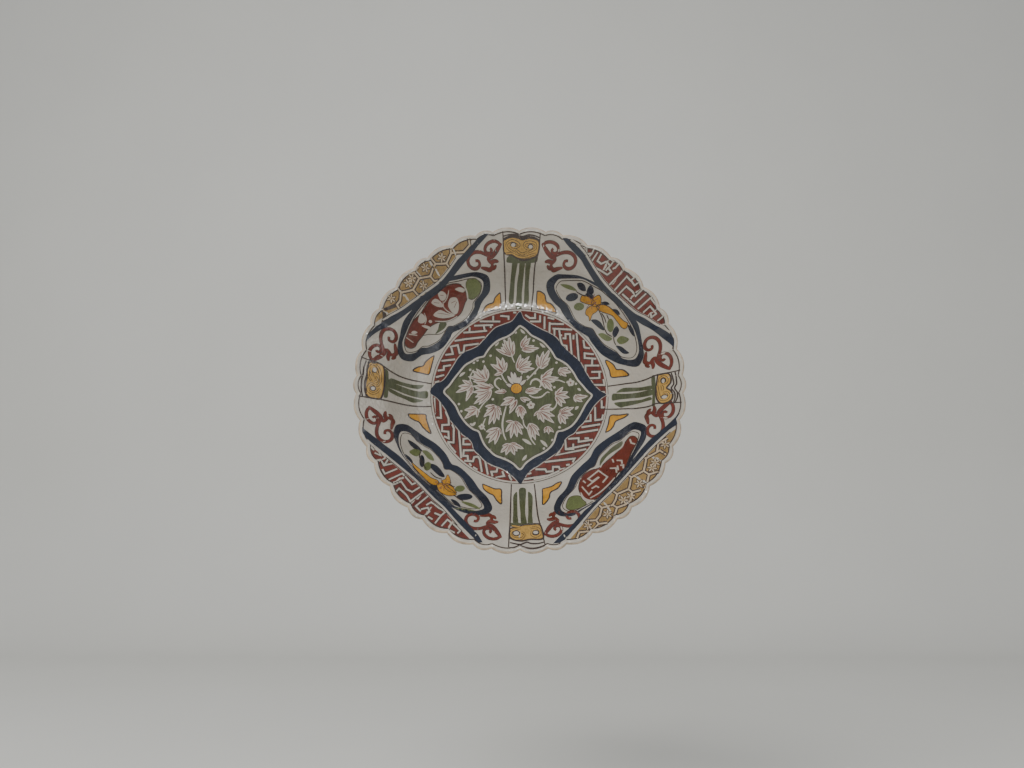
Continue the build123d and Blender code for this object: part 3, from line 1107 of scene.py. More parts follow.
class PLATE_OT_medallion(bpy.types.Operator):
    """Paint the four-lobed medallion in the well: navy band, olive ground, white leaves with brown veins"""

    bl_idname = "plate.medallion"
    bl_label = "Medallion"

    def execute(self, context):
        edge = filled(chained(MEDALLION_EDGE))
        line = chained(MEDALLION_LINE)
        line_path = bend_through(line + [line[0]], False)
        paint("medallion_band", "navy", 3, [edge], [filled(line) * 0.985])
        paint("medallion_ground", "olive", 1, [filled(line)])
        paint("medallion_line", "white", 4, [self.ring(line_path, 1.5)])
        paint("medallion_line_edge", "outline", 5, [self.ring(line_path * 0.976, 0.45)])
        self.leaves()
        self.flower()
        return {"FINISHED"}

    def ring(self, path, width):
        return stroke(path[::2], width)

    def lobed(self, points):
        """A leaf's own outline drawn in, with a pointed lobe from its base out to each of its tips."""
        points = np.array(points, float)
        middle = centre_of(points)
        base = self.base(points)
        parts = [filled(middle + (points - middle) * LEAF_SOLID)]
        for point in points:
            reach = point - base
            length = np.hypot(*reach)
            if length > LOBE_LEAST:
                width = min(LOBE_WIDEST, LOBE_WIDTH * length)
                parts.append(leaf(base, base + reach * LOBE_OVERSHOOT, width))
        return parts

    def base(self, points):
        """Where a leaf leaves its stem: its outline's nearest point to the flower, drawn in a little."""
        near = points[np.argmin(np.hypot(*(points - FLOWER_HEART).T))]
        return near + (centre_of(points) - near) * 0.12

    def leaves(self):
        white = [part for points in LEAVES for part in self.lobed(points)]
        bodies = len(white)
        white += [stroke(points, width, 0.5) for points, width in STEMS]
        white += [leaf(start, end, width, 0.3) for start, end, width in SMALL_LEAVES]
        white += [oval(x, z, 2.2, 2.0, 30.0) for x, z in DOTS]
        for x, z, size, _ in BUDS:
            for turn in range(5):
                angle = TURN * turn / 5 + 0.4
                middle = (x + size * 0.62 * math.cos(angle), z + size * 0.62 * math.sin(angle))
                white.append(oval(*middle, size, size * 0.72, -math.degrees(angle)))
        border = [self.grown(outline, 0.35) for outline in white[:bodies]]
        paint("leaf_shadow", "outline", 2, border)
        paint("medallion_leaves", "white", 3, white)
        veins = [vein for points in LEAVES for vein in self.veins(points)]
        for x, z, _, heart in BUDS:
            veins.append(oval(x, z, heart, heart))
        paint("leaf_veins", "vein", 4, veins)

    def grown(self, outline, reach):
        """The outline spread outwards by a line's width."""
        ahead = np.roll(outline, -1, axis=0) - np.roll(outline, 1, axis=0)
        ahead = ahead / np.maximum(np.hypot(ahead[:, 0], ahead[:, 1]), 1e-9)[:, None]
        after = np.roll(outline, -1, axis=0)
        area = 0.5 * np.sum(outline[:, 0] * after[:, 1] - after[:, 0] * outline[:, 1])
        out = np.column_stack([ahead[:, 1], -ahead[:, 0]]) * (1.0 if area > 0 else -1.0)
        return outline + out * reach

    def veins(self, points):
        """Fine lines from the base of a leaf along each of its lobes."""
        points = np.array(points, float)
        base = self.base(points)
        lines = []
        for point in points:
            reach = point - base
            if np.hypot(*reach) > 4.5:
                side = np.array([-reach[1], reach[0]]) * 0.04
                vein = [base + reach * 0.15, base + reach * 0.5 + side, base + reach * 0.86]
                lines.append(stroke(vein, 0.7, 0.4))
        return lines

    def flower(self):
        petals = []
        edges = []
        heart = np.array(FLOWER_HEART)
        for tip in PETALS:
            away = np.array(tip, float) - heart
            petals.append(leaf(heart + away * 0.30, np.array(tip, float), 2.7, 0.0))
            edges.append(leaf(heart + away * 0.22, heart + away * 1.06, 4.0, 0.0))
        paint("flower_petal_edges", "outline", 4, edges)
        paint("flower_petals", "white", 5, petals)
        paint("flower_heart_edge", "outline", 6, [oval(*heart, 10.0, 9.4)])
        paint("flower_heart", "orange", 7, [oval(*heart, 8.6, 8.0)])
        turns = range(6)
        seeds = [oval(*(heart + (2.4 * math.cos(a), 2.2 * math.sin(a))), 0.7, 0.7) for a in turns]
        paint("flower_seeds", "vein", 8, seeds)


# ---- fret ring round the medallion ----------------------------------------
# White lines on the red ground, each a run of straight legs.
FRET_RUNS = (
    ((40.2, 34.5), (39.5, 41.5), (36, 42), (34.6, 47), (33.6, 55)),
    ((43.8, 33), (42.6, 51.6), (38.8, 51.6), (38.8, 47.8), (36.4, 48)), ((49.8, 27), (48.8, 53)),
    ((54, 46.6), (54.6, 40), (60, 39.8)), ((64, 35), (54.6, 35), (54.6, 31), (65, 30.6)),
    ((61, 31), (60.6, 25)), ((55, 18.5), (55.2, 24.5), (67, 24.6)), ((60, 19), (69, 19.4)),
    ((66.6, 19), (66.6, 14), (58, 13.6)), ((61, 8), (71, 8), (70.6, 13)), ((67, 2), (71.6, 1.8)),
    ((28, 56.4), (45, 56)), ((29.6, 56), (29.6, 50.6)), ((25.6, 62), (25.4, 53)),
    ((21.4, 67), (21.2, 56)), ((25.6, 60.6), (38, 60.8)), ((9, 62.6), (17.6, 62.6), (17.6, 68)),
    ((5, 68.4), (9, 65.6), (13.4, 65.6), (13.4, 70)), ((24, 66), (30, 65.6)), ((33.6, 50.4), (36, 50.6)),
    ((45.6, 51), (45.4, 47)), ((68, -5), (68, -11), (71, -11)),
    ((62.5, -10.5), (62.5, -21.6), (69.5, -21.4), (69.5, -17)),
    ((58.6, -16.5), (58.6, -22.2), (54, -22.6)), ((51, -27.5), (68, -25.5)), ((46.5, -32.4), (67, -30.4)),
    ((40, -37), (48.5, -36.5), (48.5, -39.5), (62, -38.8)), ((53.4, -36.6), (57, -36.6)),
    ((37.6, -38), (38, -45.6), (44, -45.4), (44, -41)), ((38, -45.6), (60, -43.3)),
    ((33, -47), (30, -50.4), (57, -47.4)), ((20.5, -56), (45, -53.2), (45.4, -59)),
    ((13, -62), (21, -62), (22, -64), (27, -63.6), (27.4, -60), (32, -60), (33, -62.2), (37, -62),
     (37, -65)), ((38, -58.6), (41, -58.2)), ((4, -70), (24, -68), (34, -66.4)), ((24, -68), (23.4, -72)),
    ((7, -65.8), (9.6, -65)), ((12, -73), (22, -71.6)), ((-55, 46.4), (-45, 47.4), (-29, 49.2)),
    ((-59, 41.2), (-51.6, 42.2), (-50, 35.4), (-46.6, 36), (-46, 41.8), (-34, 43.4)),
    ((-57, 40), (-55.6, 34.6), (-62, 33.8)), ((-66, 29), (-53.6, 30)),
    ((-69, 20.6), (-63, 21), (-63, 24), (-57, 25)), ((-70.6, 15), (-62.6, 16.6)),
    ((-71.4, 10.4), (-66.6, 11.4)), ((-47, 53), (-38, 53.6), (-27, 54.6)), ((-42, 53.4), (-42, 58)),
    ((-38, 59), (-22, 59.6)), ((-30, 59.4), (-29, 54.6)), ((-34, 64), (-16, 62.6)),
    ((-24, 60), (-24, 57)), ((-22, 68), (-22, 63.6)), ((-16, 67.6), (-9, 67), (-9, 64)),
    ((-5, 70.6), (-2.4, 70.4)), ((-65.6, -6), (-64.6, -19.6), (-71, -20)),
    ((-61, -14), (-58.4, -20), (-58, -25.2), (-63.6, -25.5), (-63.6, -30.6), (-58.4, -31), (-58, -36.6),
     (-65, -36.6)), ((-55.4, -25), (-54, -28), (-54, -40), (-60, -40)),
    ((-58.6, -40), (-58.8, -44.6), (-55, -45), (-54, -50)), ((-49.8, -30), (-49.6, -55)),
    ((-42, -36.5), (-46, -37), (-46, -41.5), (-40, -41.5)),
    ((-37.5, -46.4), (-45.6, -46.4), (-46, -51), (-42.4, -51), (-42, -55)),
    ((-46, -56), (-38, -55.4), (-37, -52), (-34, -51.6), (-32.4, -54), (-32, -67)),
    ((-41, -57), (-40.5, -61)), ((-38.4, -61), (-36.4, -66)), ((-28, -55), (-27, -69.5)),
    ((-23, -71), (-23, -64), (-18.6, -63.8), (-18, -61)), ((-23, -58.6), (-21.4, -58.6)),
    ((-18.5, -71), (-18.5, -68.5), (-12.5, -67.4), (-14, -63.5)),
    ((-8.6, -66.4), (-7.4, -69.4), (-6.4, -73)), ((-70.4, -2.6), (-69.4, -15.6), (-72, -16)),
)
FRET_RADIUS = 72.3


def circle(radius, step=1.0):
    turn = np.linspace(0.0, TURN, int(TURN * radius / step), endpoint=False)
    return np.column_stack([radius * np.cos(turn), radius * np.sin(turn)])


def clipped(run, radius):
    """The run's points, none further out than the radius."""
    points = np.array(run, float)
    far = np.hypot(points[:, 0], points[:, 1])
    return points * np.minimum(1.0, radius / far)[:, None]


class PLATE_OT_fret_ring(bpy.types.Operator):
    """Paint the red ring round the medallion with its white key fret, and the line that closes the well"""

    bl_idname = "plate.fret_ring"
    bl_label = "Fret ring"

    def execute(self, context):
        inner = filled(chained(MEDALLION_EDGE))
        ring = circle(FRET_RADIUS)
        paint("fret_ground", "iron_red", 0, [ring], [inner * 1.012])
        runs = [clipped(run, FRET_RADIUS - 1.2) for run in FRET_RUNS]
        paint("fret_edges", "outline", 1, [stroke(run, 2.9, soft=False) for run in runs])
        paint("fret_lines", "white", 2, [stroke(run, 1.5, soft=False) for run in runs])
        rim = looped(circle(FRET_RADIUS + 1.2))
        paint("well_line", "outline", 2, [stroke(rim[::3], 0.5)])
        band = looped(circle(FRET_RADIUS + 0.2))
        paint("well_white_line", "white", 1, [stroke(band[::3], 1.2)])
        return {"FINISHED"}


# ---- the four columns -----------------------------------------------------
COLUMNS = {
    "top": {
        "sides": (
            ((-11, 72), (-11.5, 80), (-11.8, 90), (-12, 100), (-12.5, 110), (-13, 120), (-13.3, 125.6)),
            ((10.2, 71.5), (11, 80), (11.8, 87), (12.3, 97), (13.3, 105), (15.3, 110), (16.5, 118),
             (17, 124.6)),
        ),
        "stripes": (
            ((-5.5, 105), (-1.5, 105), (-2, 102), (-3.5, 95), (-4, 90), (-4.8, 80), (-6, 76),
             (-8.8, 79.5), (-7.8, 90), (-6.5, 100)),
            ((0.5, 105), (4.5, 105), (4, 100), (3, 92), (2.2, 85), (2, 74), (-2.8, 74), (-2.2, 85),
             (-1.8, 92), (-0.2, 100)),
            ((5.5, 105), (9.5, 105), (8.8, 100), (8, 92), (8, 79), (4.2, 75.5), (4.2, 85), (4.8, 95)),
            ((-10, 105), (14, 105), (15, 109), (10, 107.8), (0, 106.5), (-3, 108), (-7, 109.6),
             (-10, 108)),
        ),
        "cloud": (
            (-13, 119.5), (-8, 121.6), (-3, 121.5), (2.5, 120), (9, 121.3), (16, 118.5), (15, 110),
            (10, 107.6), (4, 106.6), (0, 107.2), (-6, 109.8), (-10, 110.2), (-12.6, 112),
        ),
        "curls": (
            ((-3, 111), (-9.5, 114.5), (-9.8, 117.5), (-6, 119.3), (-2, 118.2), (0, 116), (-3, 114.8),
             (-6.5, 115.6)),
            ((7, 111.5), (13, 114), (13.2, 117), (9.5, 118.4), (5.4, 118), (4, 116), (7, 113.8),
             (10.6, 114.8)),
            ((-11, 110.6), (-6, 111), (-2.5, 109.4), (1.5, 108.4), (6, 108.6), (10, 109.8), (14, 110.6)),
            ((-3, 113.6), (0, 111.4), (3, 110.6), (6.6, 112)),
        ),
        "eyes": ((-4.8, 116.6, 3.6, 2.4), (9.2, 115.4, 3.4, 2.4)),
        "brackets": (
            ((-13, 122.3), (-8, 123.4), (-3, 123.2), (2, 121.8), (8, 123.2), (13, 122.4), (16.6, 121)),
            ((-12.8, 120.6), (-8, 122.3), (-3, 122.2), (2, 120.8), (7, 122), (12, 121.4), (16, 119.6)),
        ),
    },
    "bottom": {
        "sides": (
            ((-6.6, -74), (-7, -85), (-7.2, -95), (-7.4, -105), (-8, -115), (-8.4, -124.6)),
            ((12, -74), (12.8, -82), (13.5, -92), (14.2, -100), (15.3, -106), (17, -111), (18, -118),
             (19, -123)),
        ),
        "stripes": (
            ((-2, -80.6), (-1.8, -90), (-1.6, -100), (-1.2, -107), (-5, -107), (-5, -95), (-5, -84)),
            ((-0.2, -78), (5, -78), (4.8, -88), (4.4, -98), (5.4, -107), (1.2, -107), (0.6, -98),
             (-0.2, -88)),
            ((7, -80.4), (10.4, -84), (9.8, -100), (10, -107), (6.4, -107), (6.8, -98), (6.8, -88)),
            ((-7, -106.2), (5, -106.4), (15, -106.6), (16, -109), (8, -109), (0, -108.6), (-7, -109)),
        ),
        "cloud": (
            (-7.4, -110.6), (-3, -109.4), (4, -107.6), (10, -107.2), (15, -107.2), (17, -111),
            (17.4, -118.2), (8, -118.8), (0, -120), (-7.6, -117.4),
        ),
        "curls": (
            ((1, -110.2), (-6, -112.6), (-6.4, -116.4), (-3, -118.4), (1.6, -118), (3.6, -115),
             (1.4, -113.6)),
            ((8, -110.4), (12, -109.9), (15, -111.6), (15.4, -114.8), (12.4, -116.6), (9, -115.2),
             (9.6, -112.2)), ((-6, -108.4), (-2.6, -109), (1, -109.6)),
        ),
        "eyes": ((-2.6, -114.2, 4.4, 3.0), (12.2, -113.6, 4.0, 2.4)),
        "brackets": (
            ((-7.4, -121.2), (0, -122.6), (5.4, -120.9), (8, -121.8), (13, -122), (18, -121)),
            ((-8, -125), (0, -125.2), (4, -125.9), (10, -125.9), (15, -124.8), (19, -123.6)),
        ),
    },
    "left": {
        "sides": (
            ((-125.4, 22.4), (-120, 20.6), (-114, 19.8), (-109, 17.5), (-104, 14.5), (-98, 12),
             (-91, 10.8), (-82, 10.2), (-73, 9.2)),
            ((-126, -9.4), (-118, -9.6), (-108, -10), (-98, -10.6), (-89, -10.9), (-80, -10.4),
             (-73, -10)),
        ),
        "stripes": (
            ((-103, 8.6), (-96, 7.6), (-88, 7), (-79.4, 7.6), (-82.6, 4.2), (-90, 4), (-98, 4.8),
             (-105, 5)),
            ((-105, 4.6), (-99, 4.6), (-93, 3.4), (-84, 2), (-76.4, 2.6), (-76.6, -3.2), (-85, -3.2),
             (-93, -1.8), (-100, 0), (-105, 1)),
            ((-105, 0.6), (-95, -2.6), (-87, -4), (-79.4, -5.4), (-87, -8), (-93, -6.2), (-99, -4.6),
             (-104, -2.4)),
            ((-107.4, 15), (-105, 13.6), (-104.6, 5), (-105, -7.4), (-107.6, -7.6), (-107.2, 3)),
        ),
        "cloud": (
            (-119, 18.8), (-111, 18.8), (-108.4, 16.8), (-107.6, 12), (-107.6, 0), (-109.6, -9),
            (-114, -9.8), (-118.6, -8.8), (-120.4, -4), (-120.6, 2), (-119.6, 6), (-119, 12),
        ),
        "curls": (
            ((-116.6, 4), (-118.6, 8), (-118.2, 14), (-115, 17.4), (-112, 15), (-110.6, 11), (-110.2, 5),
             (-112, 1), (-114.4, 0.4)),
            ((-115.4, 8), (-117, 11.4), (-116.4, 14.8), (-114.4, 15.6), (-113.2, 12.4), (-111.4, 9.6)),
            ((-113.4, 0.4), (-116.4, 2), (-118.6, -0.4), (-118.6, -4), (-115.6, -6), (-112.4, -4.4),
             (-110.4, -1)), ((-113.8, 8), (-112.4, 5), (-114.4, 3.2)),
        ),
        "eyes": ((-114.6, 13.2, 2.6, 3.6), (-115.4, -1.8, 3.0, 3.0)),
        "brackets": (
            ((-120.4, 19.6), (-122, 14), (-122.4, 8), (-123.4, 3), (-123.4, -3), (-122.2, -9)),
            ((-117.8, 19), (-119.6, 15), (-119.8, 8), (-121, 3), (-121, -3), (-119.6, -9)),
        ),
    },
    "right": {
        "sides": (
            ((73, 6.8), (80, 7.4), (88, 7.6), (96, 7.2), (102, 7.8), (106, 9), (110, 9.8), (118, 10.2),
             (125.4, 10.8)),
            ((70.5, -12.4), (80, -12.8), (88, -13.4), (95, -14.4), (103, -14.6), (108, -13.2),
             (113, -13.8), (118, -14), (125.4, -14.6)),
        ),
        "stripes": (
            ((80, 1.2), (86, 4.4), (98, 2.4), (105, 2), (105, -1.2), (99, -0.6), (85, 1)),
            ((76.6, -5.2), (77, 0), (80, 0.4), (88, -0.8), (96, -1.4), (105.6, -1.6), (105.6, -5.6),
             (98, -6), (90, -5.2), (82, -5)),
            ((78.4, -7.4), (90, -7.2), (98, -7.8), (104, -7), (105, -9.4), (101, -10), (94, -10.8),
             (86, -11.4), (83, -11.8)),
            ((105.4, 9.4), (107.4, 9.8), (108, 3), (107.4, -5), (107, -15), (105, -15), (105.6, -5),
             (105.2, 3)),
        ),
        "cloud": (
            (109.6, 9.4), (116.6, 9.6), (118.6, 6), (118.4, 2), (115.6, -1.6), (118, -4), (119.4, -8),
            (118.4, -11.6), (115, -13.6), (111, -13.4), (108.6, -10), (108, -4),
        ),
        "curls": (
            ((110.6, 3.4), (111, 6), (113.6, 7.6), (116, 5.4), (115.4, 2.4), (113.4, 2.4), (113, 4.6)),
            ((109, 1), (110, -7), (111.4, -10.4), (115, -10.6), (117, -8), (115.6, -5.4), (113.2, -5.6)),
            ((112.4, -3.4), (112.8, -1), (112, 1)),
        ),
        "eyes": ((113.4, 4.2, 2.2, 3.4), (113.8, -8.8, 3.8, 2.6)),
        "brackets": (
            ((119, 9.6), (120.6, 1), (118.8, -2.4), (120.6, -6), (121, -10), (120, -13.6)),
            ((121.6, 10), (122.6, 1), (121, -2.6), (122.4, -6), (122.6, -10), (121, -14)),
        ),
    },
}


class PLATE_OT_columns(bpy.types.Operator):
    """Paint the four columns: side lines, olive stripes and an ochre cloud head with curls"""

    bl_idname = "plate.columns"
    bl_label = "Columns"

    def execute(self, context):
        for place, parts in COLUMNS.items():
            stripes = [filled(points) for points in parts["stripes"]]
            lines = [stroke(points, 1.15, 0.75) for points in parts["sides"] + parts["brackets"]]
            cloud = parts["cloud"]
            lines.append(stroke(looped(cloud), 1.3, 0.8))
            curls = [stroke(points, 1.15, 0.6) for points in parts["curls"]]
            shadows = [stroke(points, 2.0, 0.7) for points in parts["curls"]]
            eyes = [oval(*eye) for eye in parts["eyes"]]
            shadows += [oval(x, z, across + 1.5, up + 1.5) for x, z, across, up in parts["eyes"]]
            paint(f"column_stripes_{place}", "olive", 0, stripes)
            paint(f"cloud_{place}", "cloud", 1, [filled(cloud)])
            paint(f"column_lines_{place}", "outline", 2, lines)
            paint(f"curl_edges_{place}", "outline", 3, shadows)
            paint(f"curls_{place}", "cloud", 4, curls)
            paint(f"curl_eyes_{place}", "white", 5, eyes)
        return {"FINISHED"}


# ---- corner motifs --------------------------------------------------------
CORNERS = (
    ((15, 87), (18, 86.5), (21.5, 84), (23, 79), (27, 77), (30, 73.5), (31, 70), (27, 71), (20, 73),
     (15, 74.5)),
    ((72, 29), (75, 27.5), (78.5, 24), (80.5, 20.5), (85, 19.5), (88, 17), (89.5, 14), (83, 14),
     (76.5, 14.5), (75, 20), (72, 27)),
    ((-16, 86), (-18, 84.5), (-20.5, 82), (-22, 78.5), (-26, 77), (-29, 74.5), (-30.5, 70.5), (-25, 72),
     (-17, 73.5), (-15.5, 78)),
    ((-71, 33), (-74, 31), (-78, 27), (-80, 23.5), (-84, 22), (-87.5, 18.5), (-81, 17.5), (-75.5, 17),
     (-74, 21), (-72.5, 27)),
    ((-90.5, -18), (-84, -17.3), (-77.5, -17), (-76.5, -21), (-74.5, -27), (-72.5, -32.5), (-74.5, -32),
     (-79, -28), (-82, -24), (-86, -22.5), (-89.5, -20.5)),
    ((-30, -74), (-25, -76), (-20, -78), (-15, -78.5), (-14.5, -84), (-14.5, -90.5), (-18, -88),
     (-21, -83.5), (-25, -81.5), (-29, -78)),
    ((18.5, -78), (26, -76), (30, -73.5), (34, -72.5), (31, -77.5), (25, -81), (23.5, -86), (20, -90.5),
     (18.3, -91), (18.5, -84)),
    ((70.5, -32), (73, -25), (75, -18), (82, -18), (88.5, -18), (85.5, -20.5), (79, -23), (77, -27),
     (74.5, -30)),
)


class PLATE_OT_corners(bpy.types.Operator):
    """Paint the eight orange leaf corners between the columns and the cartouches"""

    bl_idname = "plate.corners"
    bl_label = "Orange corners"

    def execute(self, context):
        fills = [filled(points) for points in CORNERS]
        lines = [stroke(looped(points), 1.1, 0.75) for points in CORNERS]
        paint("orange_corners", "orange", 0, fills)
        paint("orange_corner_lines", "outline", 1, lines)
        return {"FINISHED"}


# ---- the four cartouches --------------------------------------------------
CARTOUCHES = {
    "upper_right": {
        "outer": (
            (23.3, 92.8), (30, 96.4), (35.6, 96.1), (47.8, 93.9), (57.8, 89.4), (65, 85), (78.9, 75),
            (83.9, 69), (92.2, 57.2), (96.1, 50), (99.4, 33.3), (100, 26.7), (96.1, 19.7), (85.6, 23.3),
            (80, 26.1), (70, 32.8), (66.1, 36.7), (60, 45), (57.8, 48.9), (50.6, 53.9), (42.2, 61.7),
            (36.1, 70), (34.4, 73.3), (27.8, 79.4), (23.3, 86.7),
        ),
        "inner": (
            (29.2, 88.9), (32.2, 93.1), (36.7, 93.3), (47.8, 91.9), (52.8, 90.6), (62.2, 85),
            (67.2, 81.7), (76.7, 72.8), (80.6, 68.3), (87.8, 57.8), (93.9, 45.6), (96.7, 32.2),
            (93.9, 26.1), (85.6, 28.3), (80.6, 34), (71.1, 41.1), (65, 48.9), (61.1, 55), (54.4, 57.8),
            (46.7, 63.9), (40.4, 75), (33.3, 81.7),
        ),
        "heart": (64, 62),
    },
    "upper_left": {
        "outer": (
            (-24.5, 93.7), (-27, 96.7), (-35.3, 97.6), (-46.4, 95.1), (-56.4, 91.7), (-64, 86), (-72, 79),
            (-80, 71.5), (-88.4, 62), (-93.7, 53.7), (-96.4, 43.7), (-98.4, 32.6), (-95.9, 25.9),
            (-88.1, 25.9), (-80.9, 32), (-72.6, 34.8), (-64.2, 39.8), (-58.1, 48.1), (-55.9, 52.6),
            (-46.4, 57.6), (-38.1, 64.8), (-35.3, 68.7), (-31.4, 78.1), (-24.8, 86.4),
        ),
        "inner": (
            (-30.3, 92.6), (-38.1, 94.5), (-49.2, 91.4), (-59.8, 87.6), (-68.7, 79.8), (-73.1, 75.9),
            (-81.4, 65.9), (-87.6, 56.4), (-92, 46.4), (-94.8, 38.1), (-93.1, 30.9), (-85.9, 33.1),
            (-80.9, 37.8), (-75.9, 39.2), (-66.4, 45.9), (-59.5, 56.9), (-54.8, 58.1), (-44.2, 64.8),
            (-38.1, 73.7), (-37.4, 78), (-31.4, 85.3),
        ),
        "heart": (-64, 64),
    },
    "lower_left": {
        "outer": (
            (-97.6, -28.7), (-90.9, -27.3), (-83.1, -32), (-78.1, -35.3), (-68.1, -41.4), (-60.3, -49.2),
            (-55.3, -57.6), (-50.9, -59.2), (-46.4, -62), (-38.1, -70.3), (-32.6, -78.1), (-25.3, -85.9),
            (-21.6, -94.8), (-27, -99.8), (-39.2, -99.2), (-47, -97), (-55, -92.5), (-64, -85),
            (-74, -75), (-84.2, -63.7), (-93.1, -52), (-98.7, -39.8), (-99.5, -34.8),
        ),
        "inner": (
            (-94.8, -34.5), (-88.7, -33.9), (-82.6, -40), (-76.4, -43.7), (-72, -45.9), (-64.8, -53.1),
            (-62, -57.6), (-60.2, -62.2), (-55.3, -62.8), (-47, -68.7), (-40.9, -78.1), (-35.3, -83.7),
            (-29.2, -90.9), (-28.4, -94.8), (-35.3, -96.6), (-49.2, -93.7), (-54.8, -89.8),
            (-60.9, -84.2), (-74.2, -73.7), (-79.8, -68.1), (-89.8, -55.9), (-95.1, -44.2),
        ),
        "heart": (-66, -64),
    },
    "lower_right": {
        "outer": (
            (99.8, -30.3), (93.4, -25.6), (89, -26.4), (80.1, -32), (70.1, -38.1), (61.8, -44.8),
            (57.3, -52.6), (50.7, -58.7), (42.3, -67.6), (37.3, -78.1), (30.1, -86.4), (26.8, -95.3),
            (30.7, -100.6), (40.7, -100.9), (49, -95.9), (58, -90.5), (67, -83), (75, -75), (82.3, -66.4),
            (89.6, -55.3), (97.9, -43.1), (99.8, -37.6),
        ),
        "inner": (
            (96.2, -35.3), (92.3, -32), (88.4, -33.4), (81.4, -39), (76.2, -40.9), (71.8, -44.2),
            (64.6, -51.4), (60.6, -59.6), (56.2, -62), (48.4, -69.2), (43.4, -78.1), (36.8, -85.3),
            (32.3, -93.1), (32.9, -96.4), (36.8, -98.7), (42.3, -98.1), (47.9, -95.3), (61.8, -87.6),
            (68.4, -82), (74, -75.3), (82.3, -63.1), (85.7, -57.6), (92.3, -45.3),
        ),
        "heart": (66, -64),
    },
}


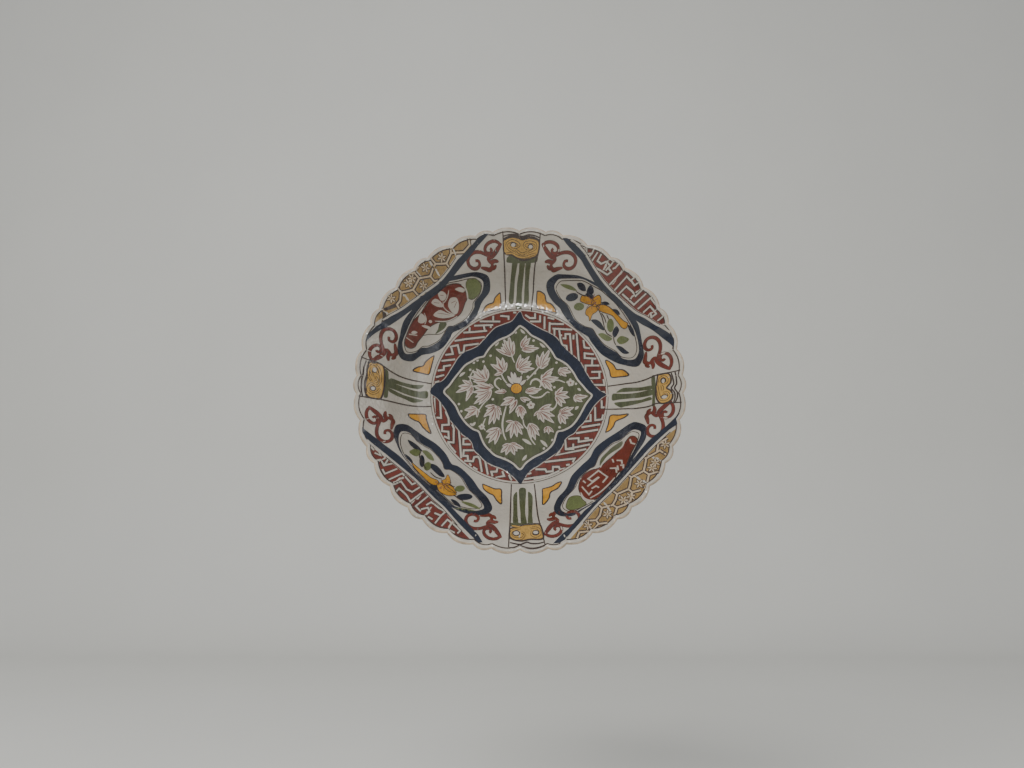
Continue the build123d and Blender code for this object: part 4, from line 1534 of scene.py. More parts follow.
class PLATE_OT_cartouches(bpy.types.Operator):
    """Paint the four lobed cartouches: two flower sprays and two patterned gourds"""

    bl_idname = "plate.cartouches"
    bl_label = "Cartouches"

    def execute(self, context):
        for place, parts in CARTOUCHES.items():
            inner = filled(parts["inner"])
            paint(f"cartouche_band_{place}", "navy", 1, [filled(parts["outer"])], [inner])
            heart = np.array(parts["heart"], float)
            drawn = heart + (looped(inner)[::2] - heart) * 0.955
            paint(f"cartouche_line_{place}", "outline", 0, [stroke(drawn, 0.6)])
        self.spray_right()
        self.spray_left()
        self.gourd_left()
        self.gourd_right()
        return {"FINISHED"}

    def spray_right(self):
        """Orange flower with navy and olive leaves, upper right."""
        orange = [
            filled(((52, 80.5), (55, 80), (60, 77), (62, 75), (60, 73), (51, 77))),
            filled(((61, 77), (65, 78.5), (67, 76), (67, 72), (64, 71), (60, 73))),
            filled(((62, 73), (56, 70.5), (55.6, 67), (58, 65), (59, 61.4), (61, 66), (64, 67.5),
                    (66, 70))),
            filled(((64, 72), (70, 71), (75, 67.5), (85, 56.5), (88, 54), (87, 50.5), (84, 52),
                    (80, 57.5), (76, 62.5), (66, 68))),
        ]
        navy = [
            leaf((47.5, 89), (55, 83), 4.2, 0.3),
            filled(((56, 84), (58, 86), (60.5, 84), (61, 80.5), (58, 80), (55.6, 82))),
            oval(44, 80.5, 10, 5.5, 0),
            filled(((56, 81.6), (60, 80), (62, 77), (58, 77.5), (54.6, 80.6))),
            filled(((60, 62), (64, 62), (68, 59), (71, 53), (68, 54), (64, 57.5))),
            filled(((80, 54), (82, 51), (81, 48), (79, 46), (77, 49), (78, 52.5))),
            filled(((80, 39.5), (84, 38), (88, 34), (90, 31.5), (86, 32), (82, 36))),
            leaf((88, 53), (93, 43), 2.6, 0.5),
            leaf((67, 73), (74, 70.4), 2.2, 0.3),
            leaf((75.6, 66.6), (82, 61.4), 2.6, 0.4),
        ]
        olive = [
            leaf((34, 90), (48, 84.2), 2.6, 0.4),
            oval(50, 73.2, 8.4, 5.6, -10),
            oval(75.3, 55.5, 5.2, 10, 8),
            filled(((66, 50.5), (70, 50.8), (77, 45.5), (74, 44), (70, 46))),
            filled(((80.5, 43.5), (83, 46), (87, 44.5), (89.5, 42), (87, 40), (83, 40))),
        ]
        stems = (
            ((66, 68), (68.5, 63), (70, 58), (71, 54)), ((68, 66), (70.5, 62), (72, 58)),
            ((72, 64), (74, 60)), ((47, 84), (51, 81.5), (55, 79.5)),
            ((78, 47), (78.6, 43), (80, 40)), ((71, 54), (73, 50), (77, 47)),
        )
        self.spray("upper_right", orange, navy, olive, stems, ((60, 75), (66, 70), (63, 74)))

    def spray_left(self):
        """Orange flower with navy and olive leaves, lower left."""
        orange = [
            filled(((-85, -59), (-80, -63), (-70, -70.5), (-65, -72.5), (-64, -76), (-68, -76.5),
                    (-72, -74), (-82, -64))),
            filled(((-62, -72.5), (-59.5, -71), (-58, -67), (-56, -70), (-55.5, -75), (-60, -77))),
            filled(((-60, -77), (-58, -74.6), (-54, -76), (-52, -79), (-50, -82.5), (-56, -81))),
            filled(((-65, -75), (-64, -80), (-61, -83), (-55, -85), (-50, -83.5), (-55, -79), (-60, -75))),
        ]
        navy = [
            leaf((-89.4, -40), (-78, -48.6), 3.8, -0.6),
            oval(-77.8, -57, 3.8, 10.5, 6),
            filled(((-71, -58.6), (-67, -59.6), (-62.6, -64), (-60, -69), (-64, -68.6), (-71, -62))),
            oval(-43.6, -85.3, 12.4, 5.4, 4),
            leaf((-54, -87.6), (-45.4, -94.4), 3.0, 0.3),
            leaf((-90.4, -52.4), (-83.6, -60.4), 2.2, 0.3),
            filled(((-70, -76.6), (-66, -76), (-63.6, -80), (-66.4, -80.6))),
        ]
        olive = [
            filled(((-87.4, -50), (-84, -47), (-80, -47.4), (-80, -51.6), (-82, -53.4), (-85, -52.6))),
            filled(((-78.4, -48), (-75, -47.6), (-71, -51), (-69, -55.6), (-72.6, -55), (-76, -51.6))),
            oval(-73.4, -61, 5.4, 7.6, -10),
            oval(-47.6, -78.4, 7.6, 5.4, 10),
            leaf((-46, -89.4), (-30.6, -95.4), 2.8, 0.5),
            leaf((-51, -95), (-34, -97), 1.6, 0.2),
        ]
        stems = (
            ((-71, -66), (-67, -69.6), (-62, -71)), ((-79, -48), (-80, -53), (-77, -59), (-74, -64)),
            ((-57, -75), (-53.6, -77), (-51.6, -77)), ((-57, -73), (-54.4, -74)),
            ((-52, -84), (-48, -87), (-44, -89)),
        )
        self.spray("lower_left", orange, navy, olive, stems, ((-60, -76), (-66, -74), (-62, -79)))

    def spray(self, place, orange, navy, olive, stems, hearts):
        paint(f"spray_leaves_navy_{place}", "navy", 1, navy)
        paint(f"spray_leaves_olive_{place}", "leaf_green", 1, olive)
        lines = [stroke(points, 0.8, 0.5) for points in stems]
        lines += [stroke(looped(outline)[::2], 0.5) for outline in orange]
        paint(f"spray_stems_{place}", "outline", 3, lines)
        paint(f"spray_flower_{place}", "orange", 2, orange)
        first = np.array(hearts[0], float)
        dark = []
        for turn in range(7):
            angle = TURN * turn / 7 + 0.3
            away = np.array((math.cos(angle), math.sin(angle)))
            dark.append(stroke([first + away * 1.2, first + away * 3.4, first + away * 5.4], 0.55, 0.3))
        dark += [oval(x, z, 1.6, 1.2, 30) for x, z in hearts]
        paint(f"spray_flower_lines_{place}", "vein", 4, dark)

    def gourd_left(self):
        """Red gourd with white leaves and a green tip, upper left."""
        red = filled(((-43.8, 80.5), (-45.5, 77), (-50, 68), (-60, 61.5), (-68, 59.5), (-75, 54.5),
                      (-80, 47.5), (-84, 42), (-86, 38), (-89, 36), (-92, 36.5), (-93, 39.5),
                      (-90.5, 47), (-88, 53), (-85, 57.5), (-80, 63), (-77, 68), (-70, 77), (-60, 85),
                      (-54, 87.5), (-49, 88), (-46, 86)))
        green = filled(((-43.1, 91.4), (-36.4, 93.4), (-32.6, 90.9), (-32, 87.6), (-34.2, 83.7),
                        (-38.1, 80.3), (-42, 80.1), (-43.7, 85.3)))
        leaves = [
            filled(((-56.5, 78.5), (-52, 79), (-50.5, 74), (-52, 68.5), (-55, 67.5), (-59, 72),
                    (-58.5, 76))),
            filled(((-66.5, 79.5), (-63, 81.5), (-60, 79.5), (-62, 76), (-65, 75.5))),
            filled(((-72, 72), (-69, 75.5), (-65, 74.5), (-63, 71.5), (-67, 70.5))),
            filled(((-71, 64), (-66, 68.5), (-60, 67.5), (-54, 66.5), (-60, 64), (-66, 63))),
            filled(((-53, 84.5), (-49, 86.5), (-45, 85.5), (-47, 83.5))),
            filled(((-83, 57), (-80.5, 63), (-77, 61), (-78, 57.5), (-81, 56))),
            oval(-73.6, 59, 2.8, 2.2, 20),
            leaf((-80.6, 54.4), (-72, 53.6), 2.2, 0.4),
            leaf((-88.4, 47), (-83.6, 49), 2.2, 0.3),
        ]
        lines = [
            stroke(((-47.5, 88.4), (-45, 87), (-43.6, 84), (-43.1, 80)), 1.2),
            stroke(((-63, 75), (-62.6, 71), (-59, 68.5), (-53, 66.5)), 0.8, 0.6),
            stroke(((-92, 43), (-87, 40.5)), 0.7),
            stroke(((-90, 46), (-84, 46.6)), 0.7),
            stroke(((-58, 83), (-59.6, 78), (-62.4, 74)), 0.7, 0.6),
            stroke(((-78, 64), (-76.6, 60), (-78, 56)), 0.6, 0.6),
            stroke(((-70, 60), (-60, 61.6), (-52, 66)), 0.8, 0.6),
        ]
        side = [filled(((-66, 59.5), (-61, 60), (-62, 56.5), (-66, 53), (-70, 50.5), (-68, 54)))]
        centres = np.array([(-54.6, 72.0), (-53.6, 74.0)])
        veins = [stroke((centre, centre + (1.6, 2.6)), 0.4) for centre in centres]
        veins.append(stroke(((-68, 66), (-63, 66.4), (-58, 66.2)), 0.4, 0.4))
        for points in (((-65, 78.6), (-62.4, 79)), ((-70, 72.8), (-66, 73.2)), ((-56.6, 75), (-53, 77))):
            veins.append(stroke(points, 0.4))
        grey = [stroke(((-80, 47), (-76, 49), (-72, 49.8), (-66, 51), (-61.6, 54.6)), 0.6, 0.6)]
        self.gourd("upper_left", red, green, side, leaves, lines, veins, grey)

    def gourd_right(self):
        """Red gourd with a white fret and a green tip, lower right."""
        red = filled(((50, -70), (53, -66.5), (58, -63.5), (64, -62), (70, -57), (80, -48.5), (85, -42),
                      (89, -37.5), (92, -38.4), (93, -42), (88, -51), (84, -60), (81, -65), (77, -67),
                      (72, -76), (68, -82), (62, -86), (56, -88.4), (52, -87.5), (49, -84), (47.5, -79),
                      (48, -75)))
        green = filled(((39, -86.6), (43, -84.6), (47.6, -85), (49, -87.6), (51.6, -91), (49, -93.6),
                        (44, -95.4), (39, -96), (36.4, -93.6)))
        side = [filled(((64.6, -59.6), (66, -54), (71, -48.6), (76, -44.2), (82.6, -40.4), (83, -42.6),
                        (81, -45.5), (73, -50.5), (69, -54.4), (66.4, -60)))]
        runs = (
            ((54.5, -71), (63.5, -64), (69.5, -70), (65.5, -74.5)), ((55, -70.5), (58, -73), (63, -69.5)),
            ((54, -77), (63.6, -69.6)), ((51, -72), (53, -74)), ((49.8, -77), (54.5, -84), (57, -81)),
            ((57, -79), (60.5, -77), (62.5, -78.5)), ((72, -62.8), (76.4, -63), (76.4, -67)),
            ((77.6, -61), (77.8, -65)), ((74.5, -55), (75.2, -58)), ((77.5, -56.5), (81, -57), (81, -59.8)),
            ((79.5, -61), (81.8, -61), (81.4, -63.8)), ((88.4, -39.6), (89, -43), (91.6, -44.4)),
        )
        lines = [stroke(points, 1.15, soft=False) for points in runs]
        crease = ((84.4, -40.6), (82.5, -45), (79, -48), (74, -51), (70, -54.5), (67, -58), (65, -61.4))
        lines.append(stroke(crease, 1.0))
        lines.append(stroke(((55, -87), (62, -83), (69, -77), (74.6, -71)), 1.0, 0.7))
        lines.append(stroke(((48.6, -82), (50, -86), (53.6, -88.6), (58, -89)), 1.3, 0.7))
        grey = [stroke(((91, -46), (88, -52), (85.4, -58), (82.6, -64)), 0.8, 0.6)]
        self.gourd("lower_right", red, green, side, [], lines, [], grey)

    def gourd(self, place, red, green, side, leaves, lines, veins, grey):
        edge = [stroke(looped(red)[::2], 1.3), stroke(looped(green)[::2], 0.8)]
        paint(f"gourd_outline_{place}", "outline", 1, edge + grey)
        paint(f"gourd_{place}", "iron_red", 2, [red])
        paint(f"gourd_tip_{place}", "leaf_green", 2, [green])
        paint(f"gourd_side_leaf_{place}", "olive", 2, side)
        paint(f"gourd_white_{place}", "white", 3, leaves + lines)
        if veins:
            paint(f"gourd_veins_{place}", "vein", 4, veins)


# ---- straight bands across the rim ----------------------------------------
BANDS = {
    "upper_right": (
        ((31, 124), (37, 117), (49, 105), (54, 98), (64, 84), (70, 79), (84, 64), (97, 52), (105, 46),
         (118, 33), (122, 27.4)),
        ((123.4, 33), (118, 40.6), (110, 47), (101, 54.5), (92, 61), (77, 76), (66, 88.5), (55, 104),
         (48, 112.5), (41, 118), (35.6, 122.4)),
    ),
    "upper_left": (
        ((-20, 125), (-25, 123), (-38, 110), (-53, 93.5), (-66, 80), (-84, 66.5), (-100, 52.5),
         (-115, 41), (-121, 34)),
        ((-120, 39.6), (-108, 52), (-93, 63.5), (-77, 77), (-63, 88.5), (-50, 104), (-34, 119),
         (-28, 124)),
    ),
    "lower_left": (
        ((-122, -33.4), (-107, -45), (-93, -55.5), (-80, -69), (-72, -76), (-57, -90), (-45, -102),
         (-32, -115), (-28, -121)),
        ((-31, -121.4), (-46, -107), (-58, -94), (-66, -87), (-80, -73), (-89, -65.5), (-102, -55),
         (-117, -43), (-121.6, -37)),
    ),
    "lower_right": (
        ((123.6, -23), (113, -33), (101, -43), (90, -55.6), (82, -64), (67, -80.6), (55, -93), (50, -97),
         (38, -110), (32, -115), (25, -122)),
        ((30, -121.4), (34, -119), (47, -105), (60, -91), (75, -77), (89, -62), (102, -48), (115, -36),
         (122, -31), (123, -27)),
    ),
}


# How much of the edge's wave the painted lines follow, and the radius of those lines (mm).
WAVE_FOLLOWED = 0.85
EDGE_RADIUS = 125.0
# How far inside the edge the panels, the bands' fine lines and the rim line run, and how far
# the panels keep from the bands (mm).
PANEL_INSET = 3.9
FINE_LINE_INSET = 3.6
RIM_LINE_INSET = 4.3
PANEL_GAP = 2.4


def rim_inset(angle, inset):
    """Plan radius (mm) of a line inside the scalloped edge; it waves less than the edge does."""
    full = sizes().radius / MM
    return full - inset + WAVE_FOLLOWED * (float(rim_radius(angle)) / MM - full)


def rim_run(start, end, inset, step=0.7):
    """Plan points that follow the scalloped edge between two angles."""
    count = max(3, int(abs(end - start) * EDGE_RADIUS / step))
    turns = np.linspace(start, end, count)
    return [(rim_inset(a, inset) * math.cos(a), rim_inset(a, inset) * math.sin(a)) for a in turns]


def bearing(point):
    return math.atan2(point[1], point[0])


def segment(place, gap):
    """Outline of the rim between a band and the edge line."""
    outer = BANDS[place][1]
    middle = bearing(np.mean(np.array(outer), axis=0))
    away = np.array((math.cos(middle), math.sin(middle)))
    line = bend_through(np.array(outer, float) + away * gap, False)
    limit = np.array([rim_inset(bearing(p), PANEL_INSET) for p in line])
    line = line * np.minimum(1.0, limit / np.hypot(line[:, 0], line[:, 1]))[:, None]
    first, last = bearing(line[-1]), bearing(line[0])
    return np.array(list(line) + rim_run(first, last, PANEL_INSET))


class PLATE_OT_bands(bpy.types.Operator):
    """Paint the four straight navy bands across the rim, with their fine outer lines"""

    bl_idname = "plate.bands"
    bl_label = "Rim bands"

    def execute(self, context):
        for place, (inner, outer) in BANDS.items():
            shape = np.vstack([bend_through(inner, False), bend_through(outer, False)])
            paint(f"band_{place}", "navy", 5, [shape])
            line = segment_line(place, 1.9)
            paint(f"band_line_{place}", "outline", 6, [stroke(line, 0.5)])
            paint(f"band_white_{place}", "white", 4, [stroke(segment_line(place, 1.1), 1.2)])
        return {"FINISHED"}


def segment_line(place, gap):
    """A line alongside the outer edge of a band."""
    outer = np.array(BANDS[place][1], float)
    middle = bearing(outer.mean(axis=0))
    moved = outer + np.array((math.cos(middle), math.sin(middle))) * gap
    return [tuple(p) for p in moved if np.hypot(*p) < rim_inset(bearing(p), FINE_LINE_INSET)]


# ---- honeycomb rim panels -------------------------------------------------
HONEYCOMB = {
    "upper_left": {
        "lines": (
            ((-99, 80), (-97.5, 78.5), (-94.5, 75), (-85.5, 79), (-80.5, 87.5), (-72, 90.5), (-69.5, 96),
             (-67.5, 99.5), (-59, 101), (-55, 108), (-45, 110), (-40, 115), (-41, 120)),
            ((-94.5, 75), (-95.5, 69.5), (-98, 66), (-96, 63)),
            ((-98, 66), (-108, 60.5), (-107, 55), (-108.5, 50)), ((-108, 60.5), (-112, 62)),
            ((-85.5, 79), (-82, 75.4), (-75, 77.5)), ((-80.5, 87.5), (-84, 91), (-81, 96)),
            ((-84, 91), (-90, 90)), ((-72, 90.5), (-69, 87.5), (-64, 88.5)),
            ((-67.5, 99.5), (-71, 103), (-69.5, 106)), ((-71, 103), (-77, 101)),
            ((-59, 101), (-56.4, 98)), ((-55, 108), (-56.4, 114)), ((-45, 110), (-43, 107)),
            ((-40, 115), (-36.6, 112.6)), ((-56, 113), (-62, 112)),
            ((-116, 52), (-112, 50), (-108.5, 50)),
        ),
        "flowers": (
            (-89, 83), (-77.5, 83), (-90, 70.6), (-102, 70), (-75.5, 96), (-62.5, 104.5), (-64, 94),
            (-48, 115), (-103, 59), (-112, 56), (-50, 106.4), (-36, 119.4), (-114, 47), (-86, 87),
        ),
    },
    "lower_right": {
        "lines": (
            ((95.5, -55.6), (98, -57), (97, -62), (95.5, -67), (99, -70), (104, -68.5), (107, -69)),
            ((98, -57), (106, -52.6), (108.6, -51)), ((106, -52.6), (107.4, -46)),
            ((108, -51.4), (112, -55)), ((95.5, -67), (86.5, -71.5), (84.5, -70)),
            ((86, -72), (85, -77), (83.5, -81), (75, -84.5), (72, -82)),
            ((99, -70), (97, -76), (95, -81)), ((83.5, -81), (86, -83.5), (92, -82)),
            ((86, -83.5), (84, -90)), ((84, -90), (80, -93), (74, -95), (71, -93), (63, -95), (61, -93)),
            ((75, -84.5), (73.5, -89), (71, -93)), ((63, -95), (61, -101), (58, -104.6)),
            ((74, -95), (72, -100), (71, -104)), ((58, -104.6), (50, -105)),
            ((58, -104.6), (59.6, -107.4), (66, -106.6)), ((59.6, -107.4), (56, -113)),
            ((45, -113.6), (52, -113)), ((45, -113.6), (43, -118)), ((107.4, -46), (114, -42)),
        ),
        "flowers": (
            (91, -65.6), (104, -61), (91.6, -77), (79, -77.6), (79, -89.4), (66.6, -100), (66, -89),
            (51.6, -108.6), (102, -52), (112, -47), (101.6, -65), (84.6, -86.6), (75.6, -99), (47, -116),
            (62, -110), (116, -38), (56, -99),
        ),
    },
}


class PLATE_OT_honeycomb(bpy.types.Operator):
    """Paint the two honeycomb panels of the rim: ochre cells with a flower in each"""

    bl_idname = "plate.honeycomb"
    bl_label = "Honeycomb panels"

    def execute(self, context):
        for place, parts in HONEYCOMB.items():
            area = segment(place, PANEL_GAP)
            paint(f"honeycomb_ground_{place}", "ochre", 0, [area])
            edges = [stroke(points, 3.0, soft=False) for points in parts["lines"]]
            lines = [stroke(points, 1.25, soft=False) for points in parts["lines"]]
            paint(f"honeycomb_edges_{place}", "outline", 1, self.kept(edges, area))
            paint(f"honeycomb_lines_{place}", "cream", 2, self.kept(lines, area))
            shadows = []
            flowers = []
            hearts = []
            for index, (x, z) in enumerate(parts["flowers"]):
                if not self.well_inside((x, z), area):
                    continue
                for turn in range(6):
                    angle = TURN * turn / 6 + 0.5 * index
                    along = np.array((math.cos(angle), math.sin(angle)))
                    middle = np.array((x, z), float)
                    flowers.append(leaf(middle + along * 0.3, middle + along * 3.6, 1.15))
                    shadows.append(leaf(middle + along * 0.2, middle + along * 4.3, 2.2))
                hearts.append(oval(x, z, 1.1, 1.1))
            paint(f"honeycomb_flower_edges_{place}", "outline", 1.5, shadows)
            paint(f"honeycomb_flowers_{place}", "cream", 3, flowers)
            paint(f"honeycomb_hearts_{place}", "ochre", 4, hearts)
        return {"FINISHED"}

    def kept(self, outlines, area):
        return [outline for outline in outlines if (inside(outline, area) != 0).mean() > 0.45]

    def well_inside(self, point, area):
        turn = np.linspace(0.0, TURN, 10)
        ring = np.column_stack([point[0] + 3.2 * np.cos(turn), point[1] + 3.2 * np.sin(turn)])
        return (inside(ring, area) != 0).mean() > 0.75


# ---- fretted rim panels ---------------------------------------------------
RIM_FRETS = {
    "upper_right": (
        ((49.5, 115), (53.5, 114.4), (57, 112.6)),
        ((51, 112), (55, 113), (54, 107.4), (58.5, 107.5), (60, 110.5)), ((63, 108), (58, 101.6)),
        ((67, 108), (63, 102), (66, 99.5), (69.6, 100.4), (73, 97.4), (69.6, 94.4)),
        ((71.6, 103), (75.6, 100), (73, 97.4)), ((75, 95), (77, 95.4), (79.6, 98)),
        ((61.4, 97.6), (67, 94), (71, 91.4), (74, 93), (72, 95.6)), ((71.4, 82.6), (84.4, 94)),
        ((76, 78.6), (86, 88), (89, 84.6), (92, 86.6), (88, 90.4)), ((89.4, 84.6), (92, 80.6), (96, 83)),
        ((79, 75.2), (86, 81), (90.4, 76.6), (93, 72.6), (99.4, 77.6)), ((83, 76), (92, 66.6), (103, 75)),
        ((95, 63), (106, 71)), ((104.4, 69.4), (114, 54.6), (109.4, 51.6)),
        ((99, 59.6), (104, 63.4), (108.4, 57), (105, 55), (104.4, 57.6)), ((113, 48), (117.4, 48.6)),
        ((96, 83), (99.4, 79)), ((43, 117.6), (46.6, 115.4)), ((55, 104.6), (58, 107)),
    ),
    "lower_left": (
        ((-111.4, -53.4), (-107, -55.2), (-108.6, -52)),
        ((-110, -59.6), (-106.6, -58.6), (-104, -63), (-98.4, -61)),
        ((-105, -66), (-103, -69.6), (-94.6, -65)),
        ((-101, -75), (-90.6, -68.6), (-83, -77), (-80, -75.4)),
        ((-97, -78.6), (-91, -75), (-86.6, -81), (-82.4, -83), (-76, -78)),
        ((-94.4, -84), (-92, -80.6), (-88, -84)), ((-86, -86), (-83, -90.6), (-73, -81)),
        ((-75, -98), (-79, -94), (-69.4, -84.6)), ((-75, -96.4), (-70, -95), (-68.6, -98), (-71, -100.6)),
        ((-71.4, -93), (-68, -90.6), (-62, -95), (-55, -99)), ((-65, -99), (-60, -101), (-64, -107)),
        ((-59, -109), (-55, -104), (-49, -108.6), (-45, -112.4), (-47, -114.4)),
        ((-53, -112), (-49, -114)), ((-104, -63), (-101.6, -58)), ((-88, -84), (-86, -86)),
        ((-60, -101), (-57, -98)), ((-114, -49), (-112, -51.4)), ((-66, -104), (-69.4, -102)),
    ),
}


class PLATE_OT_rim_frets(bpy.types.Operator):
    """Paint the two fretted panels of the rim: iron red with white key lines"""

    bl_idname = "plate.rim_frets"
    bl_label = "Fretted rim panels"

    def execute(self, context):
        for place, runs in RIM_FRETS.items():
            area = segment(place, PANEL_GAP)
            paint(f"rim_fret_ground_{place}", "iron_red", 0, [area])
            edges = [stroke(points, 2.3, soft=False) for points in runs]
            lines = [stroke(points, 1.2, soft=False) for points in runs]
            paint(f"rim_fret_edges_{place}", "outline", 1, edges)
            paint(f"rim_fret_lines_{place}", "white", 2, lines)
        return {"FINISHED"}


# ---- red scrolls beside the columns ---------------------------------------
# One scroll, beside the top column on its right: strokes as points, width and how blunt their ends are.
SCROLL = (
    (
        ((21, 112.4), (18.4, 115.4), (19, 118.2), (23, 119.4), (27.6, 118.6), (31, 116), (32.2, 112.8),
         (30.6, 110.4), (27.4, 110.4), (25.8, 112.6), (27.4, 114)), 2.3, 0.75,
    ),
    (((16.6, 118.4), (19.4, 114.6), (22.4, 110.8), (26, 107.4), (30.4, 105.8)), 3.4, 0.35),
    (
        ((25, 107.6), (30, 108.4), (36, 110.2), (42, 110), (46.4, 107.4), (48.4, 103.4), (47.4, 99.4),
         (44, 97.4), (40, 97.8), (37.4, 100.4), (38.4, 103.4), (41.4, 103.4)), 2.5, 0.7,
    ),
    (((30.4, 105.8), (27, 103.4), (23, 104.4), (19.4, 104)), 2.8, 0.3),
    (((28, 104.6), (25.4, 101), (27.6, 97.8), (32, 98.2), (36.4, 98.6)), 2.8, 0.3),
    (((21.6, 101.6), (23.6, 99.4), (27, 98.6)), 2.2, 0.3),
)
SCROLL_HEART = np.array((30.0, 109.5))
# Size of the scrolls and of their brush against the drawing, and width of their dark edge (mm).
SCROLL_SIZE = 0.86
SCROLL_BRUSH = 0.85
SCROLL_EDGE = 0.7
# For each of the eight: whether X and Z change places, the signs of X and Z, and a shift.
SCROLL_PLACES = (
    (False, 1, 1, (0, 0)), (False, -1, 1, (4, 0.5)), (False, -1, -1, (4.5, -0.5)),
    (False, 1, -1, (0, 1.5)), (True, 1, 1, (1.5, -6)), (True, -1, 1, (0, 1)), (True, -1, -1, (-1, 2)),
    (True, 1, -1, (1.5, 6)),
)


class PLATE_OT_scrolls(bpy.types.Operator):
    """Paint the eight iron red scrolls beside the columns"""

    bl_idname = "plate.scrolls"
    bl_label = "Red scrolls"

    def execute(self, context):
        marks = []
        edges = []
        for swapped, sign_x, sign_z, shift in SCROLL_PLACES:
            for points, width, ends in SCROLL:
                line = SCROLL_HEART + (np.array(points, float) - SCROLL_HEART) * SCROLL_SIZE
                line = line[:, ::-1] if swapped else line
                line = line * (sign_x, sign_z) + shift
                marks.append(stroke(line, SCROLL_BRUSH * width, ends))
                edges.append(stroke(line, SCROLL_BRUSH * width + SCROLL_EDGE, ends))
        paint("scroll_lines", "outline", 0, edges)
        paint("scrolls", "iron_red", 1, marks)
        return {"FINISHED"}


class PLATE_OT_rim_line(bpy.types.Operator):
    """Paint the thin brown line that follows the scallops inside the lip"""

    bl_idname = "plate.rim_line"
    bl_label = "Rim line"

    def execute(self, context):
        parts = sizes().repeats
        lines = []
        for part in range(parts):
            # Each stroke of the brush overlaps the last a little.
            start = TURN * part / parts
            run = rim_run(start, start + 1.04 * TURN / parts, RIM_LINE_INSET)
            lines.append(stroke(run, 0.9, 0.8))
        paint("rim_line", "outline", 1, lines)
        return {"FINISHED"}


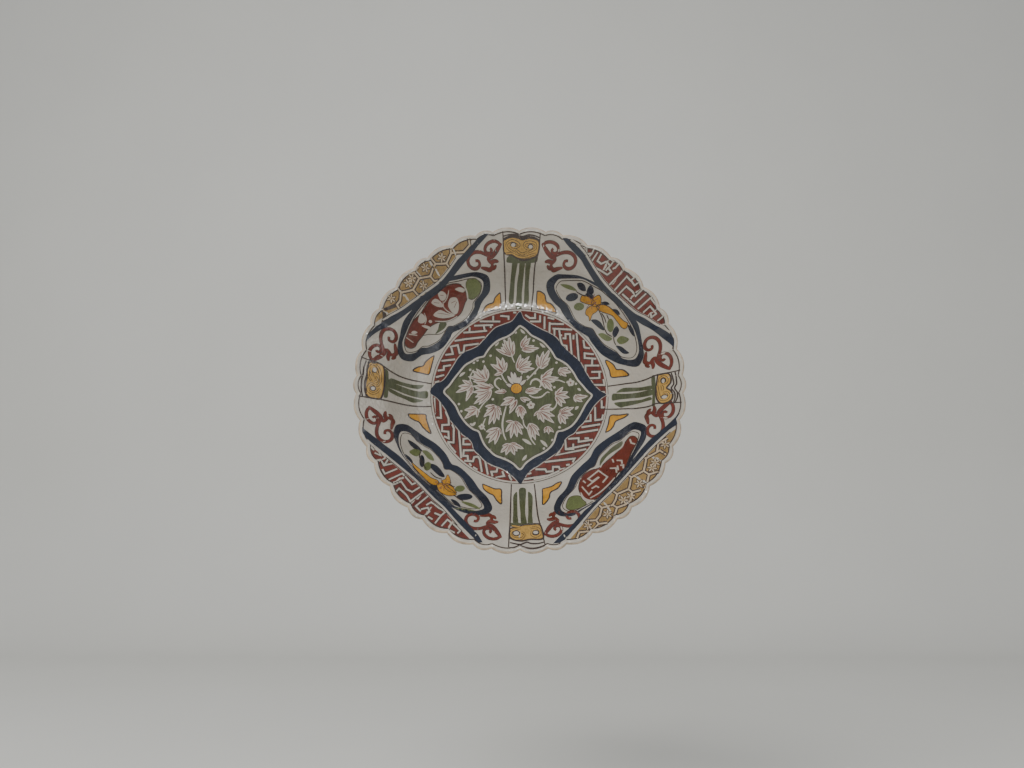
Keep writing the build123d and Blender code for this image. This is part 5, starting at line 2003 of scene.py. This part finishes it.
class PLATE_OT_stage(bpy.types.Operator):
    """Set the plain pale floor and backdrop, the soft studio light and the camera"""

    bl_idname = "plate.stage"
    bl_label = "Stage, light and camera"

    def execute(self, context):
        self.backdrop()
        self.lights(context.scene.stage_settings)
        self.camera(context.scene.stage_settings)
        return {"FINISHED"}

    def backdrop(self):
        """A pale sheet: flat under the plate, then swept up behind it."""
        floor = -0.32
        back = 0.95
        sweep = 0.45
        clear_selection()
        bpy.ops.mesh.primitive_plane_add(size=1.0, location=(0.0, 0.0, floor))
        sheet = made_piece("backdrop")
        points = get_points(sheet)
        points = np.column_stack(
            [points[:, 0] * 9.0, np.where(points[:, 1] > 0, back, -4.0), np.full(len(points), floor)]
        )
        set_points(sheet, points)
        sheet.location = (0.0, 0.0, 0.0)
        bpy.ops.object.mode_set(mode="EDIT")
        bpy.ops.mesh.select_mode(type="EDGE")
        bpy.ops.mesh.select_all(action="DESELECT")
        bpy.ops.object.mode_set(mode="OBJECT")
        for edge in sheet.data.edges:
            edge.select = all(sheet.data.vertices[v].co.y > 0 for v in edge.vertices)
        bpy.ops.object.mode_set(mode="EDIT")
        steps = 16
        for step in range(1, steps + 1):
            last = (step - 1) / steps * math.pi / 2
            turn = step / steps * math.pi / 2
            along = sweep * (math.sin(turn) - math.sin(last))
            up = sweep * (math.cos(last) - math.cos(turn))
            bpy.ops.mesh.extrude_region_move(TRANSFORM_OT_translate={"value": (0.0, along, up)})
        bpy.ops.mesh.extrude_region_move(TRANSFORM_OT_translate={"value": (0.0, 0.0, 2.6)})
        bpy.ops.mesh.select_all(action="SELECT")
        bpy.ops.mesh.normals_make_consistent(inside=False)
        bpy.ops.object.mode_set(mode="OBJECT")
        bpy.ops.object.shade_smooth_by_angle(angle=math.radians(30.0))
        look = Finish("backdrop_paper")
        pale = tuple(colours().stage)
        paper = look.blend(look.patches(3.0, 3.0, 0.3, 0.7), shade(pale, 0.985), shade(pale, 1.015))
        look.put("Base Color", paper)
        look.put("Roughness", 0.9)
        look.relief(look.grain(400.0, 3.0), 0.08, 0.0004)
        sheet.data.materials.append(look.material)

    def lights(self, stage):
        world = bpy.context.scene.world or bpy.data.worlds.new("World")
        bpy.context.scene.world = world
        world.use_nodes = True
        background = world.node_tree.nodes["Background"]
        background.inputs["Color"].default_value = (0.93, 0.95, 1.0, 1.0)
        background.inputs["Strength"].default_value = stage.world
        self.soft_light("key_light", (-0.75, -1.1, 1.35), (1.5, 1.1), stage.key_power)
        self.soft_light("fill_light", (1.3, -1.3, 0.25), (1.1, 1.1), stage.fill_power)
        self.soft_light("sparkle_light", (0.02, -1.40, -0.29), (0.26, 0.04), stage.spot_power)

    def soft_light(self, name, place, size, power):
        """A rectangular soft light that faces the middle of the plate."""
        clear_selection()
        aim = (Vector((0.0, -0.02, 0.0)) - Vector(place)).to_track_quat("-Z", "Y")
        bpy.ops.object.light_add(type="AREA", location=place, rotation=aim.to_euler())
        lamp = bpy.context.active_object
        lamp.name = name
        lamp.data.shape = "RECTANGLE"
        lamp.data.size = size[0]
        lamp.data.size_y = size[1]
        lamp.data.energy = power
        # The broad overhead light shades the plate without showing in the glaze.
        lamp.visible_glossy = name != "key_light"

    def camera(self, stage):
        s = sizes()
        target = Vector((0.0, -(s.foot_height + s.floor_thickness), 0.0))
        flat = stage.distance * math.cos(stage.below)
        down = stage.distance * math.sin(stage.below)
        place = target - Vector((flat * math.sin(stage.side), flat * math.cos(stage.side), down))
        clear_selection()
        bpy.ops.object.camera_add(location=place)
        camera = bpy.context.active_object
        camera.name = "camera"
        heading = stage.side - stage.aim_left
        pitch = stage.below + stage.aim_up
        camera.rotation_euler = (math.pi / 2 + pitch, 0.0, -heading)
        camera.data.sensor_width = 36.0
        camera.data.lens = stage.lens
        camera.data.clip_start = 0.01
        bpy.context.scene.camera = camera


# ---- panel and registration -----------------------------------------------
class PLATE_PT_panel(bpy.types.Panel):
    """Lists the steps that build the plate, in their order"""

    bl_label = "Painted Plate"
    bl_idname = "PLATE_PT_panel"
    bl_space_type = "VIEW_3D"
    bl_region_type = "UI"
    bl_category = "Plate"

    def draw(self, context):
        for operator in STEPS:
            self.layout.operator(operator.bl_idname)


STEPS = (
    PLATE_OT_body,
    PLATE_OT_wire,
    PLATE_OT_medallion,
    PLATE_OT_fret_ring,
    PLATE_OT_columns,
    PLATE_OT_corners,
    PLATE_OT_cartouches,
    PLATE_OT_bands,
    PLATE_OT_honeycomb,
    PLATE_OT_rim_frets,
    PLATE_OT_scrolls,
    PLATE_OT_rim_line,
    PLATE_OT_stage,
)
GROUPS = {
    "plate_sizes": PlateSizes,
    "wire_sizes": WireSizes,
    "paint_colours": PaintColours,
    "stage_settings": StageSettings,
}


def register():
    for group in GROUPS.values():
        bpy.utils.register_class(group)
    for name, group in GROUPS.items():
        setattr(bpy.types.Scene, name, PointerProperty(type=group))
    for step in (*STEPS, PLATE_PT_panel):
        bpy.utils.register_class(step)


def unregister():
    for step in reversed((*STEPS, PLATE_PT_panel)):
        bpy.utils.unregister_class(step)
    for name in GROUPS:
        delattr(bpy.types.Scene, name)
    for group in reversed(GROUPS.values()):
        bpy.utils.unregister_class(group)


def main():
    register()
    for step in STEPS:
        area, name = step.bl_idname.split(".")
        getattr(getattr(bpy.ops, area), name)()


if __name__ == "__main__":
    main()
